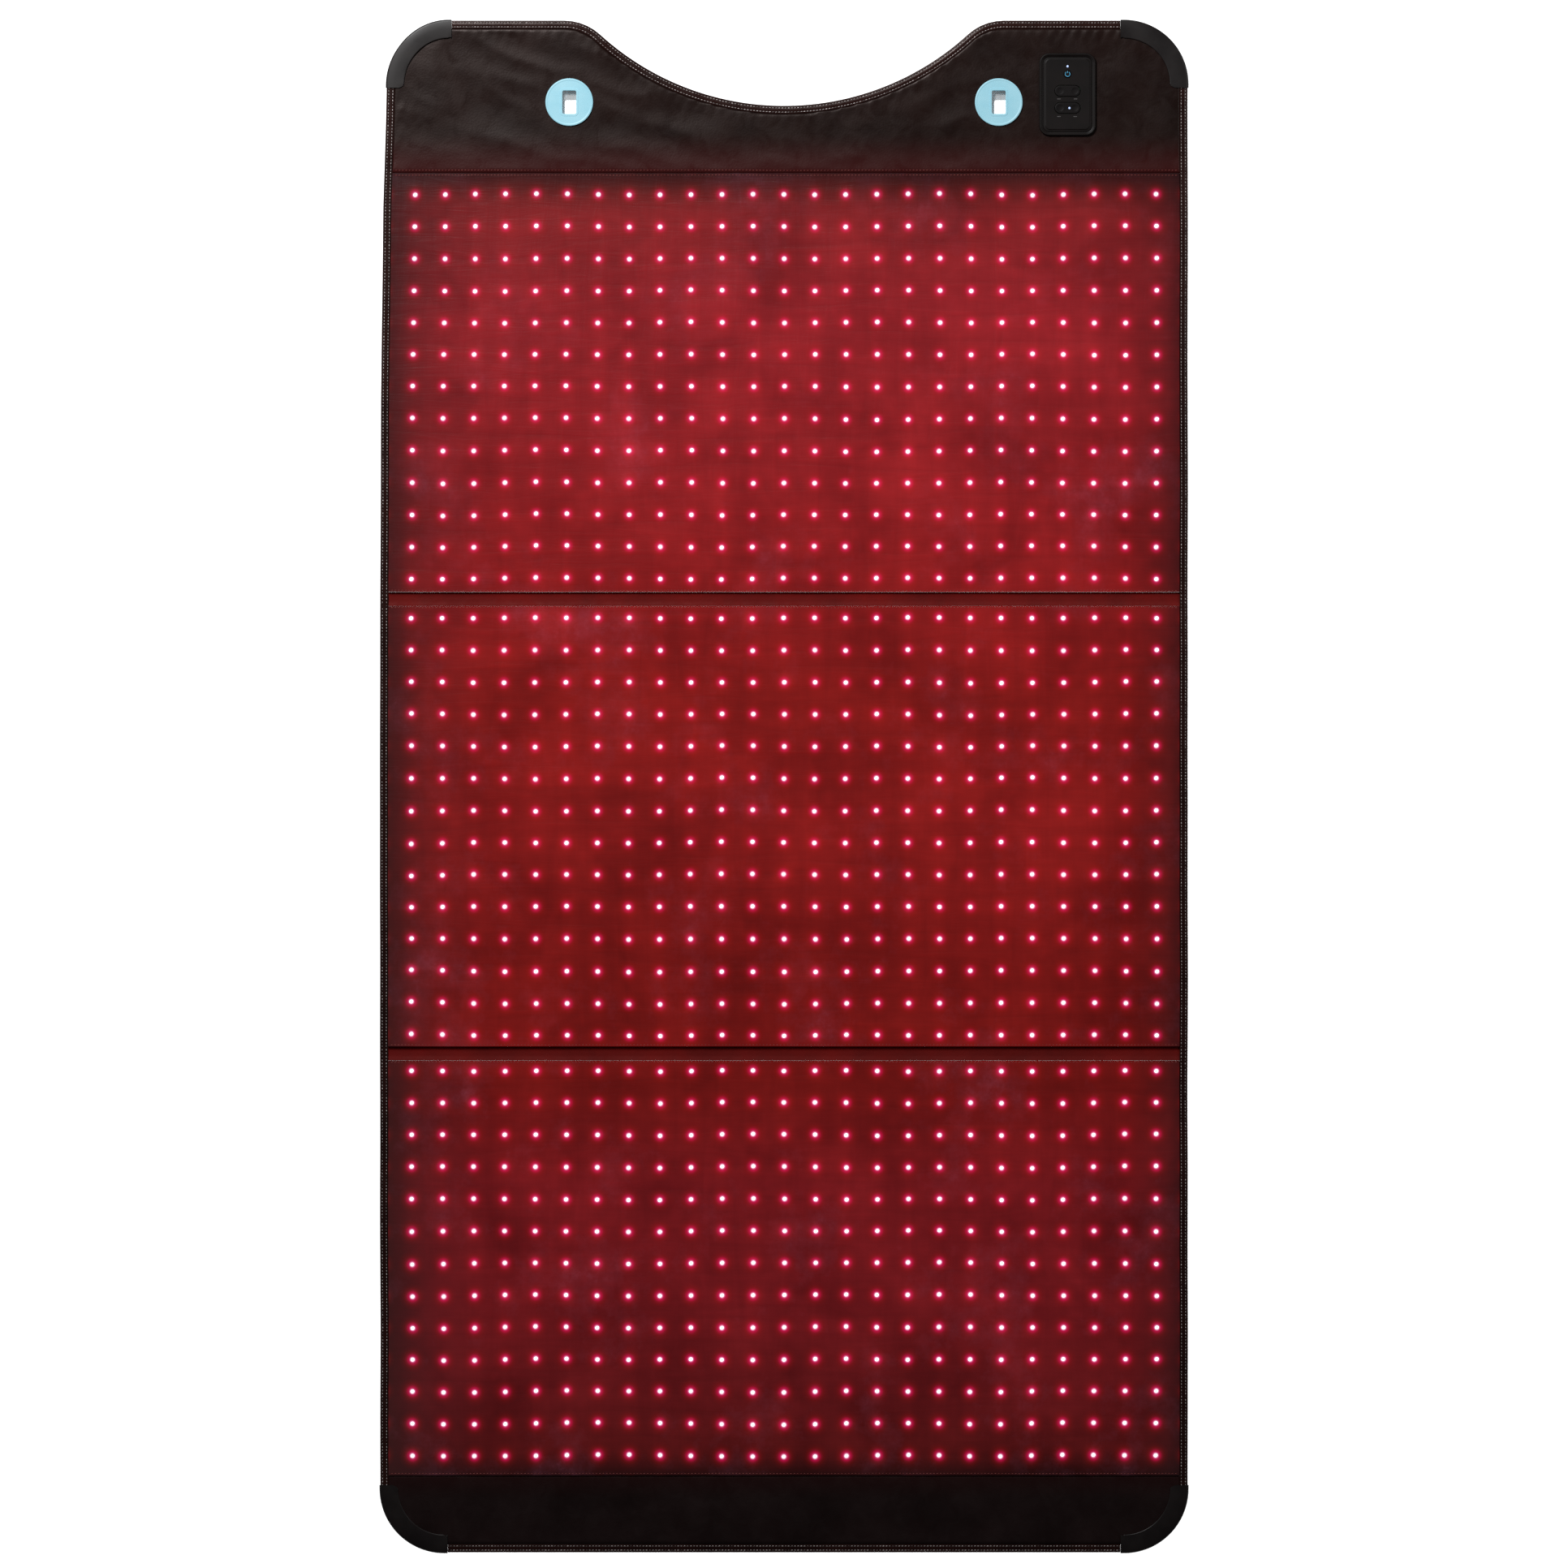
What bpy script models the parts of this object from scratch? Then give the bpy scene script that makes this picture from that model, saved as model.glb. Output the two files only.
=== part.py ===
"""Folding red light mat for lying on or under.

Three light panels are joined by two fold strips. A head flap with a neck cut-out carries
the controller and two hanging eyelets, and a plain flap ends the mat at the foot. The mat
lies flat on its back: +X is its right side, +Y its head end and +Z its light face. The
origin is under its middle. Sizes are in metres.
"""

from math import asin, cos, pi, radians, sin

import bmesh
import bpy
from mathutils import Matrix, Vector

MM = 0.001

# Width over the corner guards, which stand proud of the edge.
MAT_WIDTH = 950 * MM
GUARD_PROUD = 1 * MM

# Lengths along the mat, from the head end. With the guards they add up to 1.8 m.
HEAD_FLAP_LENGTH = 179 * MM
UPPER_PANEL_LENGTH = 491.8 * MM
MIDDLE_PANEL_LENGTH = 516.8 * MM
LOWER_PANEL_LENGTH = 487 * MM
FOOT_FLAP_LENGTH = 90.4 * MM
FOLD_STRIP_WIDTH = 16.5 * MM

# Outline of the two ends.
CORNER_RADIUS = 75 * MM
NECK_DEPTH = 100 * MM
NECK_RADIUS = 320 * MM
SHOULDER_RADIUS = 62.5 * MM

# Layers, from the back face up. Pieces that touch keep this gap.
GAP = 0.3 * MM
BACK_COVER_THICKNESS = 1 * MM
CORE_THICKNESS = 2.4 * MM
FRONT_COVER_THICKNESS = 1 * MM
LIGHT_BOARD_THICKNESS = 0.8 * MM
LED_HEIGHT = 0.8 * MM
WINDOW_THICKNESS = 0.8 * MM
WINDOW_SKIRT = 1.2 * MM
STRIP_SHEET_THICKNESS = 0.8 * MM
JUMPER_THICKNESS = 0.6 * MM
JUMPER_WIDTH = 40 * MM
JUMPER_OFFSET = 330 * MM

# Edge binding and moulded corner guards.
BINDING_WIDTH = 9.5 * MM
BINDING_WALL = 0.8 * MM
GUARD_WIDTH = 21 * MM
GUARD_LIP = 1.2 * MM
GUARD_END = 4 * MM
GUARD_CHAMFER = 1 * MM

# Hanging eyelets.
EYELET_FROM_SIDE = 222 * MM
EYELET_FROM_HEAD = 96 * MM
EYELET_DIAMETER = 56 * MM
EYELET_SLOT_WIDTH = 16.4 * MM
EYELET_SLOT_LENGTH = 27.6 * MM
EYELET_SLOT_CORNER = 2 * MM
EYELET_SLEEVE_WALL = 1.5 * MM
EYELET_RIM = 2 * MM
EYELET_EDGE = 0.7 * MM

# Controller, with its centre measured from the mat's right side and from its head edge.
CONTROLLER_FROM_SIDE = 141.3 * MM
CONTROLLER_FROM_HEAD = 87 * MM
BEZEL_WIDTH = 66.6 * MM
BEZEL_LENGTH = 97 * MM
BEZEL_CORNER = 12 * MM
BEZEL_BAND = 4.5 * MM
BEZEL_HEIGHT = 3.1 * MM
BEZEL_EDGE = 1.2 * MM
FACE_RECESS = 0.5 * MM
SHELL_LEDGE = 0.7 * MM
SHELL_WALL = 1.6 * MM
SHELL_FLOOR = 1 * MM
FACE_THICKNESS = 2 * MM
CIRCUIT_THICKNESS = 0.8 * MM
CIRCUIT_LENGTH = 68 * MM
SWITCH_HEIGHT = 0.8 * MM
SWITCH_RADIUS = 2 * MM
CHIP_RADIUS = 0.9 * MM
KEY_CLEARANCE = 0.4 * MM
KEY_EDGE = 0.5 * MM

# Power button. It sinks by its travel before it meets its switch.
POWER_DIAMETER = 8.7 * MM
POWER_POSITION = 23.8 * MM
POWER_PROUD = 0.3 * MM
POWER_TRAVEL = 0.5 * MM
POWER_FLANGE = 1.4 * MM
FLANGE_THICKNESS = 0.6 * MM

# Rocker keys, one above the other. Each tips about a rib on the circuit board.
ROCKER_LENGTH = 30 * MM
ROCKER_WIDTH = 13 * MM
ROCKER_PROUD = 0.2 * MM
ROCKER_SWITCH_OFFSET = 9 * MM
TIMER_POSITION = 4 * MM
MODE_POSITION = -16 * MM
FULCRUM_WIDTH = 2 * MM
FULCRUM_HEIGHT = 1.2 * MM

# Indicator lights.
LIGHT_DIAMETER = 2.4 * MM
STATUS_POSITION = 33 * MM
MODE_LIGHT_OFFSET = 2.2 * MM

# Screws that hold the controller's shell to its face, from the back.
SCREW_INSET_X = 7 * MM
SCREW_INSET_Y = 5 * MM
SCREW_SHAFT_RADIUS = 1 * MM
SCREW_HEAD_RADIUS = 1.9 * MM
SCREW_HEAD_THICKNESS = 0.8 * MM
SCREW_POST_RADIUS = 3.2 * MM
SCREW_BITE = 0.8 * MM

# Power inlet in the back, under the controller, and the flat cable to the first panel.
INLET_RADIUS = 9 * MM
INLET_POSITION = -22 * MM
INLET_EDGE = 0.4 * MM
HARNESS_WIDTH = 14 * MM

# Extra height of the head flap's fold axis, for a key tipped above the bezel.
HEAD_FOLD_ROOM = 0.8 * MM

# Roundness: straight sides in a quarter turn.
QUARTER_STEPS = 6
CORNER_STEPS = 10
NECK_STEPS = 16
SHARP_ANGLE = radians(30)

# Places that follow from the sizes above.
BODY_HALF_WIDTH = MAT_WIDTH / 2 - GUARD_PROUD
PANELS_LENGTH = UPPER_PANEL_LENGTH + MIDDLE_PANEL_LENGTH + LOWER_PANEL_LENGTH
BODY_LENGTH = HEAD_FLAP_LENGTH + PANELS_LENGTH + 2 * FOLD_STRIP_WIDTH + FOOT_FLAP_LENGTH
HEAD_EDGE = BODY_LENGTH / 2
FOOT_EDGE = -HEAD_EDGE
HEAD_SEAM = HEAD_EDGE - HEAD_FLAP_LENGTH
UPPER_PANEL_END = HEAD_SEAM - UPPER_PANEL_LENGTH
MIDDLE_PANEL_HEAD = UPPER_PANEL_END - FOLD_STRIP_WIDTH
MIDDLE_PANEL_FOOT = MIDDLE_PANEL_HEAD - MIDDLE_PANEL_LENGTH
LOWER_PANEL_HEAD = MIDDLE_PANEL_FOOT - FOLD_STRIP_WIDTH
FOOT_SEAM = LOWER_PANEL_HEAD - LOWER_PANEL_LENGTH

CORE_LOW = BACK_COVER_THICKNESS + GAP
CORE_HIGH = CORE_LOW + CORE_THICKNESS
TOP_LAYER_LOW = CORE_HIGH + GAP
FLAP_HIGH = TOP_LAYER_LOW + FRONT_COVER_THICKNESS
BOARD_HIGH = TOP_LAYER_LOW + LIGHT_BOARD_THICKNESS
WINDOW_HIGH = BOARD_HIGH + LED_HEIGHT + WINDOW_THICKNESS
COVER_INSET = BINDING_WIDTH + GAP
CORE_INSET = BINDING_WALL + GAP

EYELET_OFFSET = BODY_HALF_WIDTH - EYELET_FROM_SIDE
CONTROLLER_OFFSET = BODY_HALF_WIDTH - CONTROLLER_FROM_SIDE
CONTROLLER_CENTRE = Vector((CONTROLLER_OFFSET, HEAD_EDGE - CONTROLLER_FROM_HEAD))
FACE_WIDTH = BEZEL_WIDTH - 2 * (BEZEL_BAND + GAP)
FACE_LENGTH = BEZEL_LENGTH - 2 * (BEZEL_BAND + GAP)
FACE_CORNER = BEZEL_CORNER - BEZEL_BAND - GAP
SHELL_WIDTH = FACE_WIDTH - 2 * SHELL_LEDGE
SHELL_LENGTH = FACE_LENGTH - 2 * SHELL_LEDGE
SHELL_CORNER = FACE_CORNER - SHELL_LEDGE
SHELL_LOW = CORE_LOW
SHELL_FLOOR_TOP = SHELL_LOW + SHELL_FLOOR
CIRCUIT_LOW = SHELL_FLOOR_TOP + GAP
CIRCUIT_HIGH = CIRCUIT_LOW + CIRCUIT_THICKNESS
CIRCUIT_WIDTH = SHELL_WIDTH - 2 * (SHELL_WALL + GAP)
BEZEL_LOW = FLAP_HIGH + GAP
BEZEL_HIGH = BEZEL_LOW + BEZEL_HEIGHT
FACE_HIGH = BEZEL_HIGH - FACE_RECESS
FACE_LOW = FACE_HIGH - FACE_THICKNESS
SHELL_HIGH = FACE_LOW - GAP
KEY_LOW = CIRCUIT_HIGH + FULCRUM_HEIGHT + GAP

# Fold axes. A panel that folds up turns just above the windows, and one that folds down
# turns just under the back. The head flap turns higher, to clear the raised controller.
FOLD_UP_HEIGHT = WINDOW_HIGH + GAP
FOLD_DOWN_HEIGHT = -GAP
HEAD_FOLD_HEIGHT = (WINDOW_HIGH + BEZEL_HIGH) / 2 + HEAD_FOLD_ROOM
UPPER_FOLD_LINE = (UPPER_PANEL_END + MIDDLE_PANEL_HEAD) / 2
LOWER_FOLD_LINE = (MIDDLE_PANEL_FOOT + LOWER_PANEL_HEAD) / 2

PALETTE = {
    "cover_leather": ((0.045, 0.030, 0.028), 0.42, 0.0),
    "back_leather": ((0.030, 0.024, 0.024), 0.5, 0.0),
    "binding_leather": ((0.020, 0.016, 0.016), 0.35, 0.0),
    "strip_leather": ((0.060, 0.012, 0.012), 0.45, 0.0),
    "core_felt": ((0.35, 0.34, 0.32), 0.9, 0.0),
    "light_board_film": ((0.60, 0.22, 0.08), 0.5, 0.0),
    "light_window_film": ((0.30, 0.02, 0.035), 0.35, 0.0),
    "guard_plastic": ((0.018, 0.017, 0.017), 0.45, 0.0),
    "eyelet_plastic": ((0.42, 0.72, 0.85), 0.4, 0.0),
    "controller_plastic": ((0.016, 0.013, 0.013), 0.5, 0.0),
    "key_rubber": ((0.012, 0.010, 0.010), 0.7, 0.0),
    "circuit_laminate": ((0.02, 0.16, 0.07), 0.5, 0.0),
    "indicator_lens": ((0.55, 0.80, 0.95), 0.2, 0.0),
    "screw_steel": ((0.55, 0.55, 0.56), 0.35, 1.0),
    "cable_jacket": ((0.02, 0.02, 0.02), 0.6, 0.0),
    "inlet_nickel": ((0.60, 0.60, 0.58), 0.3, 1.0),
}


def clear_scene():
    for obj in list(bpy.data.objects):
        bpy.data.objects.remove(obj, do_unlink=True)


def make_material(name):
    colour, roughness, metallic = PALETTE[name]
    material = bpy.data.materials.new(name)
    material.use_nodes = True
    shader = material.node_tree.nodes["Principled BSDF"]
    shader.inputs["Base Color"].default_value = (*colour, 1.0)
    shader.inputs["Roughness"].default_value = roughness
    shader.inputs["Metallic"].default_value = metallic
    return material


def solid_through(name, sections, material=None):
    """An object whose closed mesh runs through equal cross-sections, extruded one by one."""
    mesh_builder = bmesh.new()
    start_face = mesh_builder.faces.new([mesh_builder.verts.new(corner) for corner in sections[0]])
    end_face = start_face
    for section in sections[1:]:
        grown = bmesh.ops.extrude_face_region(mesh_builder, geom=[end_face])["geom"]
        if end_face is not start_face:
            bmesh.ops.delete(mesh_builder, geom=[end_face], context="FACES_ONLY")
        end_face = next(item for item in grown if isinstance(item, bmesh.types.BMFace))
        for vert, corner in zip(end_face.verts, section):
            vert.co = corner
    bmesh.ops.recalc_face_normals(mesh_builder, faces=mesh_builder.faces)
    mesh = bpy.data.meshes.new(name)
    mesh_builder.to_mesh(mesh)
    mesh_builder.free()
    mesh.shade_smooth()
    mesh.set_sharp_from_angle(angle=SHARP_ANGLE)
    obj = bpy.data.objects.new(name, mesh)
    bpy.context.scene.collection.objects.link(obj)
    if material:
        mesh.materials.append(material)
    return obj


def at_height(outline, height):
    return [(point[0], point[1], height) for point in outline]


def prism(name, outline, low, high, material=None):
    return solid_through(name, [at_height(outline, low), at_height(outline, high)], material)


def rectangle(left, right, foot, head):
    return [(left, foot), (right, foot), (right, head), (left, head)]


def circle(centre, radius):
    count = 4 * QUARTER_STEPS
    turns = [2 * pi * step / count for step in range(count)]
    return [(centre[0] + radius * cos(turn), centre[1] + radius * sin(turn)) for turn in turns]


def rounded_rectangle(centre, width, length, radius):
    """Corners of a rectangle with round ends to its sides, anticlockwise from the right."""
    reach_x = width / 2 - radius
    reach_y = length / 2 - radius
    outline = []
    for quarter, (side_x, side_y) in enumerate([(1, 1), (-1, 1), (-1, -1), (1, -1)]):
        for step in range(QUARTER_STEPS + 1):
            turn = (quarter + step / QUARTER_STEPS) * pi / 2
            outline.append((
                centre[0] + side_x * reach_x + radius * cos(turn),
                centre[1] + side_y * reach_y + radius * sin(turn),
            ))
    return outline


def softened_block(name, centre, size, radius, heights, edge, material):
    """A rounded block whose top edge is chamfered. size is (width, length)."""
    low, high = heights
    full = rounded_rectangle(centre, *size, radius)
    inner = rounded_rectangle(centre, size[0] - 2 * edge, size[1] - 2 * edge, radius - edge)
    sections = [at_height(full, low), at_height(full, high - edge), at_height(inner, high)]
    return solid_through(name, sections, material)


def turned(name, centre, steps, material=None):
    """A round piece. steps are (radius, height) pairs from its foot up."""
    sections = [at_height(circle(centre, radius), height) for radius, height in steps]
    return solid_through(name, sections, material)


def hide(helper):
    helper.hide_render = True
    helper.display_type = "WIRE"
    return helper


def combine(target, helper, operation):
    modifier = target.modifiers.new(helper.name, "BOOLEAN")
    modifier.operation = operation
    modifier.solver = "EXACT"
    modifier.object = hide(helper)


def cut(target, helper):
    combine(target, helper, "DIFFERENCE")


def add(target, helper):
    combine(target, helper, "UNION")


def cut_through(targets, name, outline, low, high):
    """Cuts one hole, a little past the two heights, in each of the targets."""
    helper = prism(name, outline, low - GAP, high + GAP)
    for target in targets:
        cut(target, helper)


# Stations: points along the mat's edge, each with the unit vector that leads into the mat.


def straight_station(x, y, inward):
    return Vector((x, y)), Vector(inward)


def arc_stations(centre, radius, start, end, steps, hollow=False):
    stations = []
    for step in range(steps + 1):
        turn = start + (end - start) * step / steps
        spoke = Vector((cos(turn), sin(turn)))
        stations.append((Vector(centre) + radius * spoke, spoke if hollow else -spoke))
    return stations


def mirrored(stations):
    """The same stations on the mat's left side, in reverse order."""
    flip = Matrix(((-1, 0), (0, 1)))
    return [(flip @ point, flip @ inward) for point, inward in reversed(stations)]


def turned_round(stations):
    """Stations of the head end's right side, turned to the foot end's."""
    flip = Matrix(((1, 0), (0, -1)))
    return [(flip @ point, flip @ inward) for point, inward in stations]


def offset_outline(stations, inset):
    return [point + inset * inward for point, inward in stations]


def edge_solid(name, stations, profile, material=None):
    """A solid of one section along the edge. profile holds (inset, height) corners."""
    sections = []
    for point, inward in stations:
        placed = [(point + inset * inward, height) for inset, height in profile]
        sections.append([(corner.x, corner.y, height) for corner, height in placed])
    return solid_through(name, sections, material)


def corner_stations():
    centre = (BODY_HALF_WIDTH - CORNER_RADIUS, HEAD_EDGE - CORNER_RADIUS)
    return arc_stations(centre, CORNER_RADIUS, 0, pi / 2, CORNER_STEPS)


def guard_stations(reach):
    """The head end's right corner, run on by reach past both ends of its arc."""
    side = straight_station(BODY_HALF_WIDTH, HEAD_EDGE - CORNER_RADIUS - reach, (-1, 0))
    head = straight_station(BODY_HALF_WIDTH - CORNER_RADIUS - reach, HEAD_EDGE, (0, -1))
    return [side, *corner_stations(), head]


def neck_stations():
    """The neck cut-out: a hollow arc that runs smoothly into a round shoulder each side."""
    drop = NECK_RADIUS - NECK_DEPTH + SHOULDER_RADIUS
    reach = NECK_RADIUS + SHOULDER_RADIUS
    shoulder_x = (reach**2 - drop**2) ** 0.5
    spread = asin(shoulder_x / reach)
    shoulder = arc_stations(
        (shoulder_x, HEAD_EDGE - SHOULDER_RADIUS),
        SHOULDER_RADIUS,
        pi / 2,
        pi / 2 + spread,
        QUARTER_STEPS,
    )
    hollow = arc_stations(
        (0, HEAD_EDGE + NECK_RADIUS - NECK_DEPTH),
        NECK_RADIUS,
        spread - pi / 2,
        -spread - pi / 2,
        NECK_STEPS,
        hollow=True,
    )
    return shoulder[:-1] + hollow + mirrored(shoulder)[1:]


def binding_profile():
    """A tape folded round the edge, gripping the core between its two lips."""
    return [
        (0, 0),
        (BINDING_WIDTH, 0),
        (BINDING_WIDTH, BACK_COVER_THICKNESS),
        (BINDING_WALL, BACK_COVER_THICKNESS),
        (BINDING_WALL, TOP_LAYER_LOW),
        (BINDING_WIDTH, TOP_LAYER_LOW),
        (BINDING_WIDTH, FLAP_HIGH),
        (0, FLAP_HIGH),
    ]


def guard_profile():
    """A moulded corner clip. Its upper lip lies on the cover and its lower one is flush."""
    lip_low = FLAP_HIGH + GAP
    lip_high = lip_low + GUARD_LIP
    return [
        (GUARD_CHAMFER - GUARD_PROUD, 0),
        (GUARD_WIDTH, 0),
        (GUARD_WIDTH, BACK_COVER_THICKNESS),
        (BINDING_WALL, BACK_COVER_THICKNESS),
        (BINDING_WALL, lip_low),
        (GUARD_WIDTH, lip_low),
        (GUARD_WIDTH, lip_high - GUARD_CHAMFER / 2),
        (GUARD_WIDTH - GUARD_CHAMFER / 2, lip_high),
        (GUARD_CHAMFER - GUARD_PROUD, lip_high),
        (-GUARD_PROUD, lip_high - GUARD_CHAMFER),
        (-GUARD_PROUD, GUARD_CHAMFER),
    ]


def make_guards(end_name, place, materials):
    """Both corner guards of one end, and the helper that clears the back cover for them."""
    right = place(guard_stations(GUARD_END))
    clearance = place(guard_stations(GUARD_END + GAP))
    band = [
        (-2 * GUARD_PROUD, -GAP),
        (GUARD_WIDTH + GAP, -GAP),
        (GUARD_WIDTH + GAP, CORE_LOW),
        (-2 * GUARD_PROUD, CORE_LOW),
    ]
    guards = []
    helpers = []
    for side, turn in (("right", list), ("left", mirrored)):
        name = f"corner_guard_{end_name}_{side}"
        guards.append(edge_solid(name, turn(right), guard_profile(), materials["guard_plastic"]))
        helpers.append(edge_solid(name + "_clearance", turn(clearance), band))
    return guards, helpers


def make_side_bindings(name, low, high, materials):
    """The straight edge bindings of one stretch of the mat's two sides."""
    right = [
        straight_station(BODY_HALF_WIDTH, low, (-1, 0)),
        straight_station(BODY_HALF_WIDTH, high, (-1, 0)),
    ]
    leather = materials["binding_leather"]
    return [
        edge_solid(f"{name}_binding_right", right, binding_profile(), leather),
        edge_solid(f"{name}_binding_left", mirrored(right), binding_profile(), leather),
    ]


def make_end_covers(name, stations, helpers, materials):
    """Back cover, core and front cover of a flap, from the stations of its whole edge."""
    inner = offset_outline(stations, COVER_INSET)
    core_outline = offset_outline(stations, CORE_INSET)
    back = prism(f"{name}_back_cover", inner, 0, BACK_COVER_THICKNESS, materials["back_leather"])
    core = prism(f"{name}_core", core_outline, CORE_LOW, CORE_HIGH, materials["core_felt"])
    front = prism(
        f"{name}_front_cover", inner, TOP_LAYER_LOW, FLAP_HIGH, materials["cover_leather"]
    )
    for helper in helpers:
        cut(back, helper)
    return back, core, front


def make_panel(name, foot, head, binding_foot, binding_head, materials):
    """One light panel, between two places along the mat."""
    foot += GAP / 2
    head -= GAP / 2
    half = BODY_HALF_WIDTH - COVER_INSET
    core_half = BODY_HALF_WIDTH - CORE_INSET
    board_half = half - WINDOW_SKIRT - GAP
    board_inset = WINDOW_SKIRT + GAP
    back = prism(
        f"{name}_back_cover",
        rectangle(-half, half, foot, head),
        0,
        BACK_COVER_THICKNESS,
        materials["back_leather"],
    )
    core = prism(
        f"{name}_core",
        rectangle(-core_half, core_half, foot, head),
        CORE_LOW,
        CORE_HIGH,
        materials["core_felt"],
    )
    board = prism(
        f"{name}_light_board",
        rectangle(-board_half, board_half, foot + board_inset, head - board_inset),
        TOP_LAYER_LOW,
        BOARD_HIGH,
        materials["light_board_film"],
    )
    window = prism(
        f"{name}_light_window",
        rectangle(-half, half, foot, head),
        TOP_LAYER_LOW,
        WINDOW_HIGH,
        materials["light_window_film"],
    )
    pocket = rectangle(
        WINDOW_SKIRT - half, half - WINDOW_SKIRT, foot + WINDOW_SKIRT, head - WINDOW_SKIRT
    )
    cut(
        window,
        prism(f"{name}_window_pocket", pocket, TOP_LAYER_LOW - GAP, WINDOW_HIGH - WINDOW_THICKNESS),
    )
    sides = make_side_bindings(name, binding_foot + GAP / 2, binding_head - GAP / 2, materials)
    return [back, core, board, window, *sides]


def make_fold_strip(name, foot, head, materials):
    """Two thin sheets across a fold, with the flat cable that joins the light boards."""
    foot += GAP / 2
    head -= GAP / 2
    half = BODY_HALF_WIDTH - COVER_INSET
    gripped_half = BODY_HALF_WIDTH - CORE_INSET
    jumper_low = STRIP_SHEET_THICKNESS + GAP
    front_low = jumper_low + JUMPER_THICKNESS + GAP
    back = prism(
        f"{name}_strip_back",
        rectangle(-half, half, foot, head),
        0,
        STRIP_SHEET_THICKNESS,
        materials["back_leather"],
    )
    front = prism(
        f"{name}_strip_front",
        rectangle(-gripped_half, gripped_half, foot, head),
        front_low,
        front_low + STRIP_SHEET_THICKNESS,
        materials["strip_leather"],
    )
    jumper = prism(
        f"{name}_jumper_cable",
        rectangle(JUMPER_OFFSET - JUMPER_WIDTH / 2, JUMPER_OFFSET + JUMPER_WIDTH / 2, foot, head),
        jumper_low,
        jumper_low + JUMPER_THICKNESS,
        materials["cable_jacket"],
    )
    return [back, front, jumper]


def make_eyelet(side, x, holed, back_cover, materials):
    """A two-part hanging eyelet. Its sleeve lines the slot through the flap."""
    centre = (x, HEAD_EDGE - EYELET_FROM_HEAD)
    radius = EYELET_DIAMETER / 2
    wall = 2 * EYELET_SLEEVE_WALL
    slot = rounded_rectangle(centre, EYELET_SLOT_WIDTH, EYELET_SLOT_LENGTH, EYELET_SLOT_CORNER)
    sleeve_size = (EYELET_SLOT_WIDTH + wall, EYELET_SLOT_LENGTH + wall)
    sleeve_corner = EYELET_SLOT_CORNER + EYELET_SLEEVE_WALL
    hole = rounded_rectangle(
        centre, sleeve_size[0] + 2 * GAP, sleeve_size[1] + 2 * GAP, sleeve_corner + GAP
    )
    disc_low = FLAP_HIGH + GAP
    disc_high = disc_low + EYELET_RIM
    steps = [(radius, disc_low), (radius, disc_high - EYELET_EDGE), (radius - EYELET_EDGE, disc_high)]
    front = turned(f"eyelet_front_{side}", centre, steps, materials["eyelet_plastic"])
    sleeve = prism(
        f"eyelet_sleeve_{side}",
        rounded_rectangle(centre, *sleeve_size, sleeve_corner),
        CORE_LOW,
        disc_low + EYELET_RIM / 2,
    )
    add(front, sleeve)
    back = turned(
        f"eyelet_back_{side}",
        centre,
        [(radius, 0), (radius, BACK_COVER_THICKNESS)],
        materials["eyelet_plastic"],
    )
    cut_through([front, back], f"eyelet_slot_{side}", slot, 0, disc_high)
    cut_through(holed, f"eyelet_hole_{side}", hole, CORE_LOW, FLAP_HIGH)
    seat = circle(centre, radius + GAP)
    cut_through([back_cover], f"eyelet_seat_{side}", seat, 0, BACK_COVER_THICKNESS)
    return [front, back]


def on_controller(x, y):
    return CONTROLLER_CENTRE.x + x, CONTROLLER_CENTRE.y + y


def screw_places():
    reach_x = SHELL_WIDTH / 2 - SCREW_INSET_X
    reach_y = SHELL_LENGTH / 2 - SCREW_INSET_Y
    return [on_controller(x * reach_x, y * reach_y) for x in (-1, 1) for y in (-1, 1)]


def make_shell(holed, back_cover, materials):
    """The controller's tray, sunk in the flap, with a post for each screw."""
    outline = rounded_rectangle(CONTROLLER_CENTRE, SHELL_WIDTH, SHELL_LENGTH, SHELL_CORNER)
    shell = prism("controller_back_shell", outline, SHELL_LOW, SHELL_HIGH, materials["controller_plastic"])
    pocket = rounded_rectangle(
        CONTROLLER_CENTRE,
        SHELL_WIDTH - 2 * SHELL_WALL,
        SHELL_LENGTH - 2 * SHELL_WALL,
        SHELL_CORNER - SHELL_WALL,
    )
    cut(shell, prism("shell_pocket", pocket, SHELL_FLOOR_TOP, SHELL_HIGH + GAP))
    head_room = SHELL_LOW + SCREW_HEAD_THICKNESS + 2 * GAP
    for number, place in enumerate(screw_places(), 1):
        post = circle(place, SCREW_POST_RADIUS)
        add(shell, prism(f"screw_post_{number}", post, SHELL_FLOOR_TOP - GAP, SHELL_HIGH))
        steps = [
            (SCREW_HEAD_RADIUS + GAP, SHELL_LOW - GAP),
            (SCREW_HEAD_RADIUS + GAP, head_room),
            (SCREW_SHAFT_RADIUS + GAP, head_room),
            (SCREW_SHAFT_RADIUS + GAP, SHELL_HIGH + GAP),
        ]
        cut(shell, turned(f"screw_passage_{number}", place, steps))
    hole = rounded_rectangle(
        CONTROLLER_CENTRE, SHELL_WIDTH + 2 * GAP, SHELL_LENGTH + 2 * GAP, SHELL_CORNER + GAP
    )
    cut_through(holed, "shell_hole", hole, CORE_LOW, FLAP_HIGH)
    inlet_hole = circle(on_controller(0, INLET_POSITION), INLET_RADIUS + GAP)
    cut_through([shell, back_cover], "inlet_hole", inlet_hole, 0, SHELL_FLOOR_TOP)
    return shell


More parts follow.
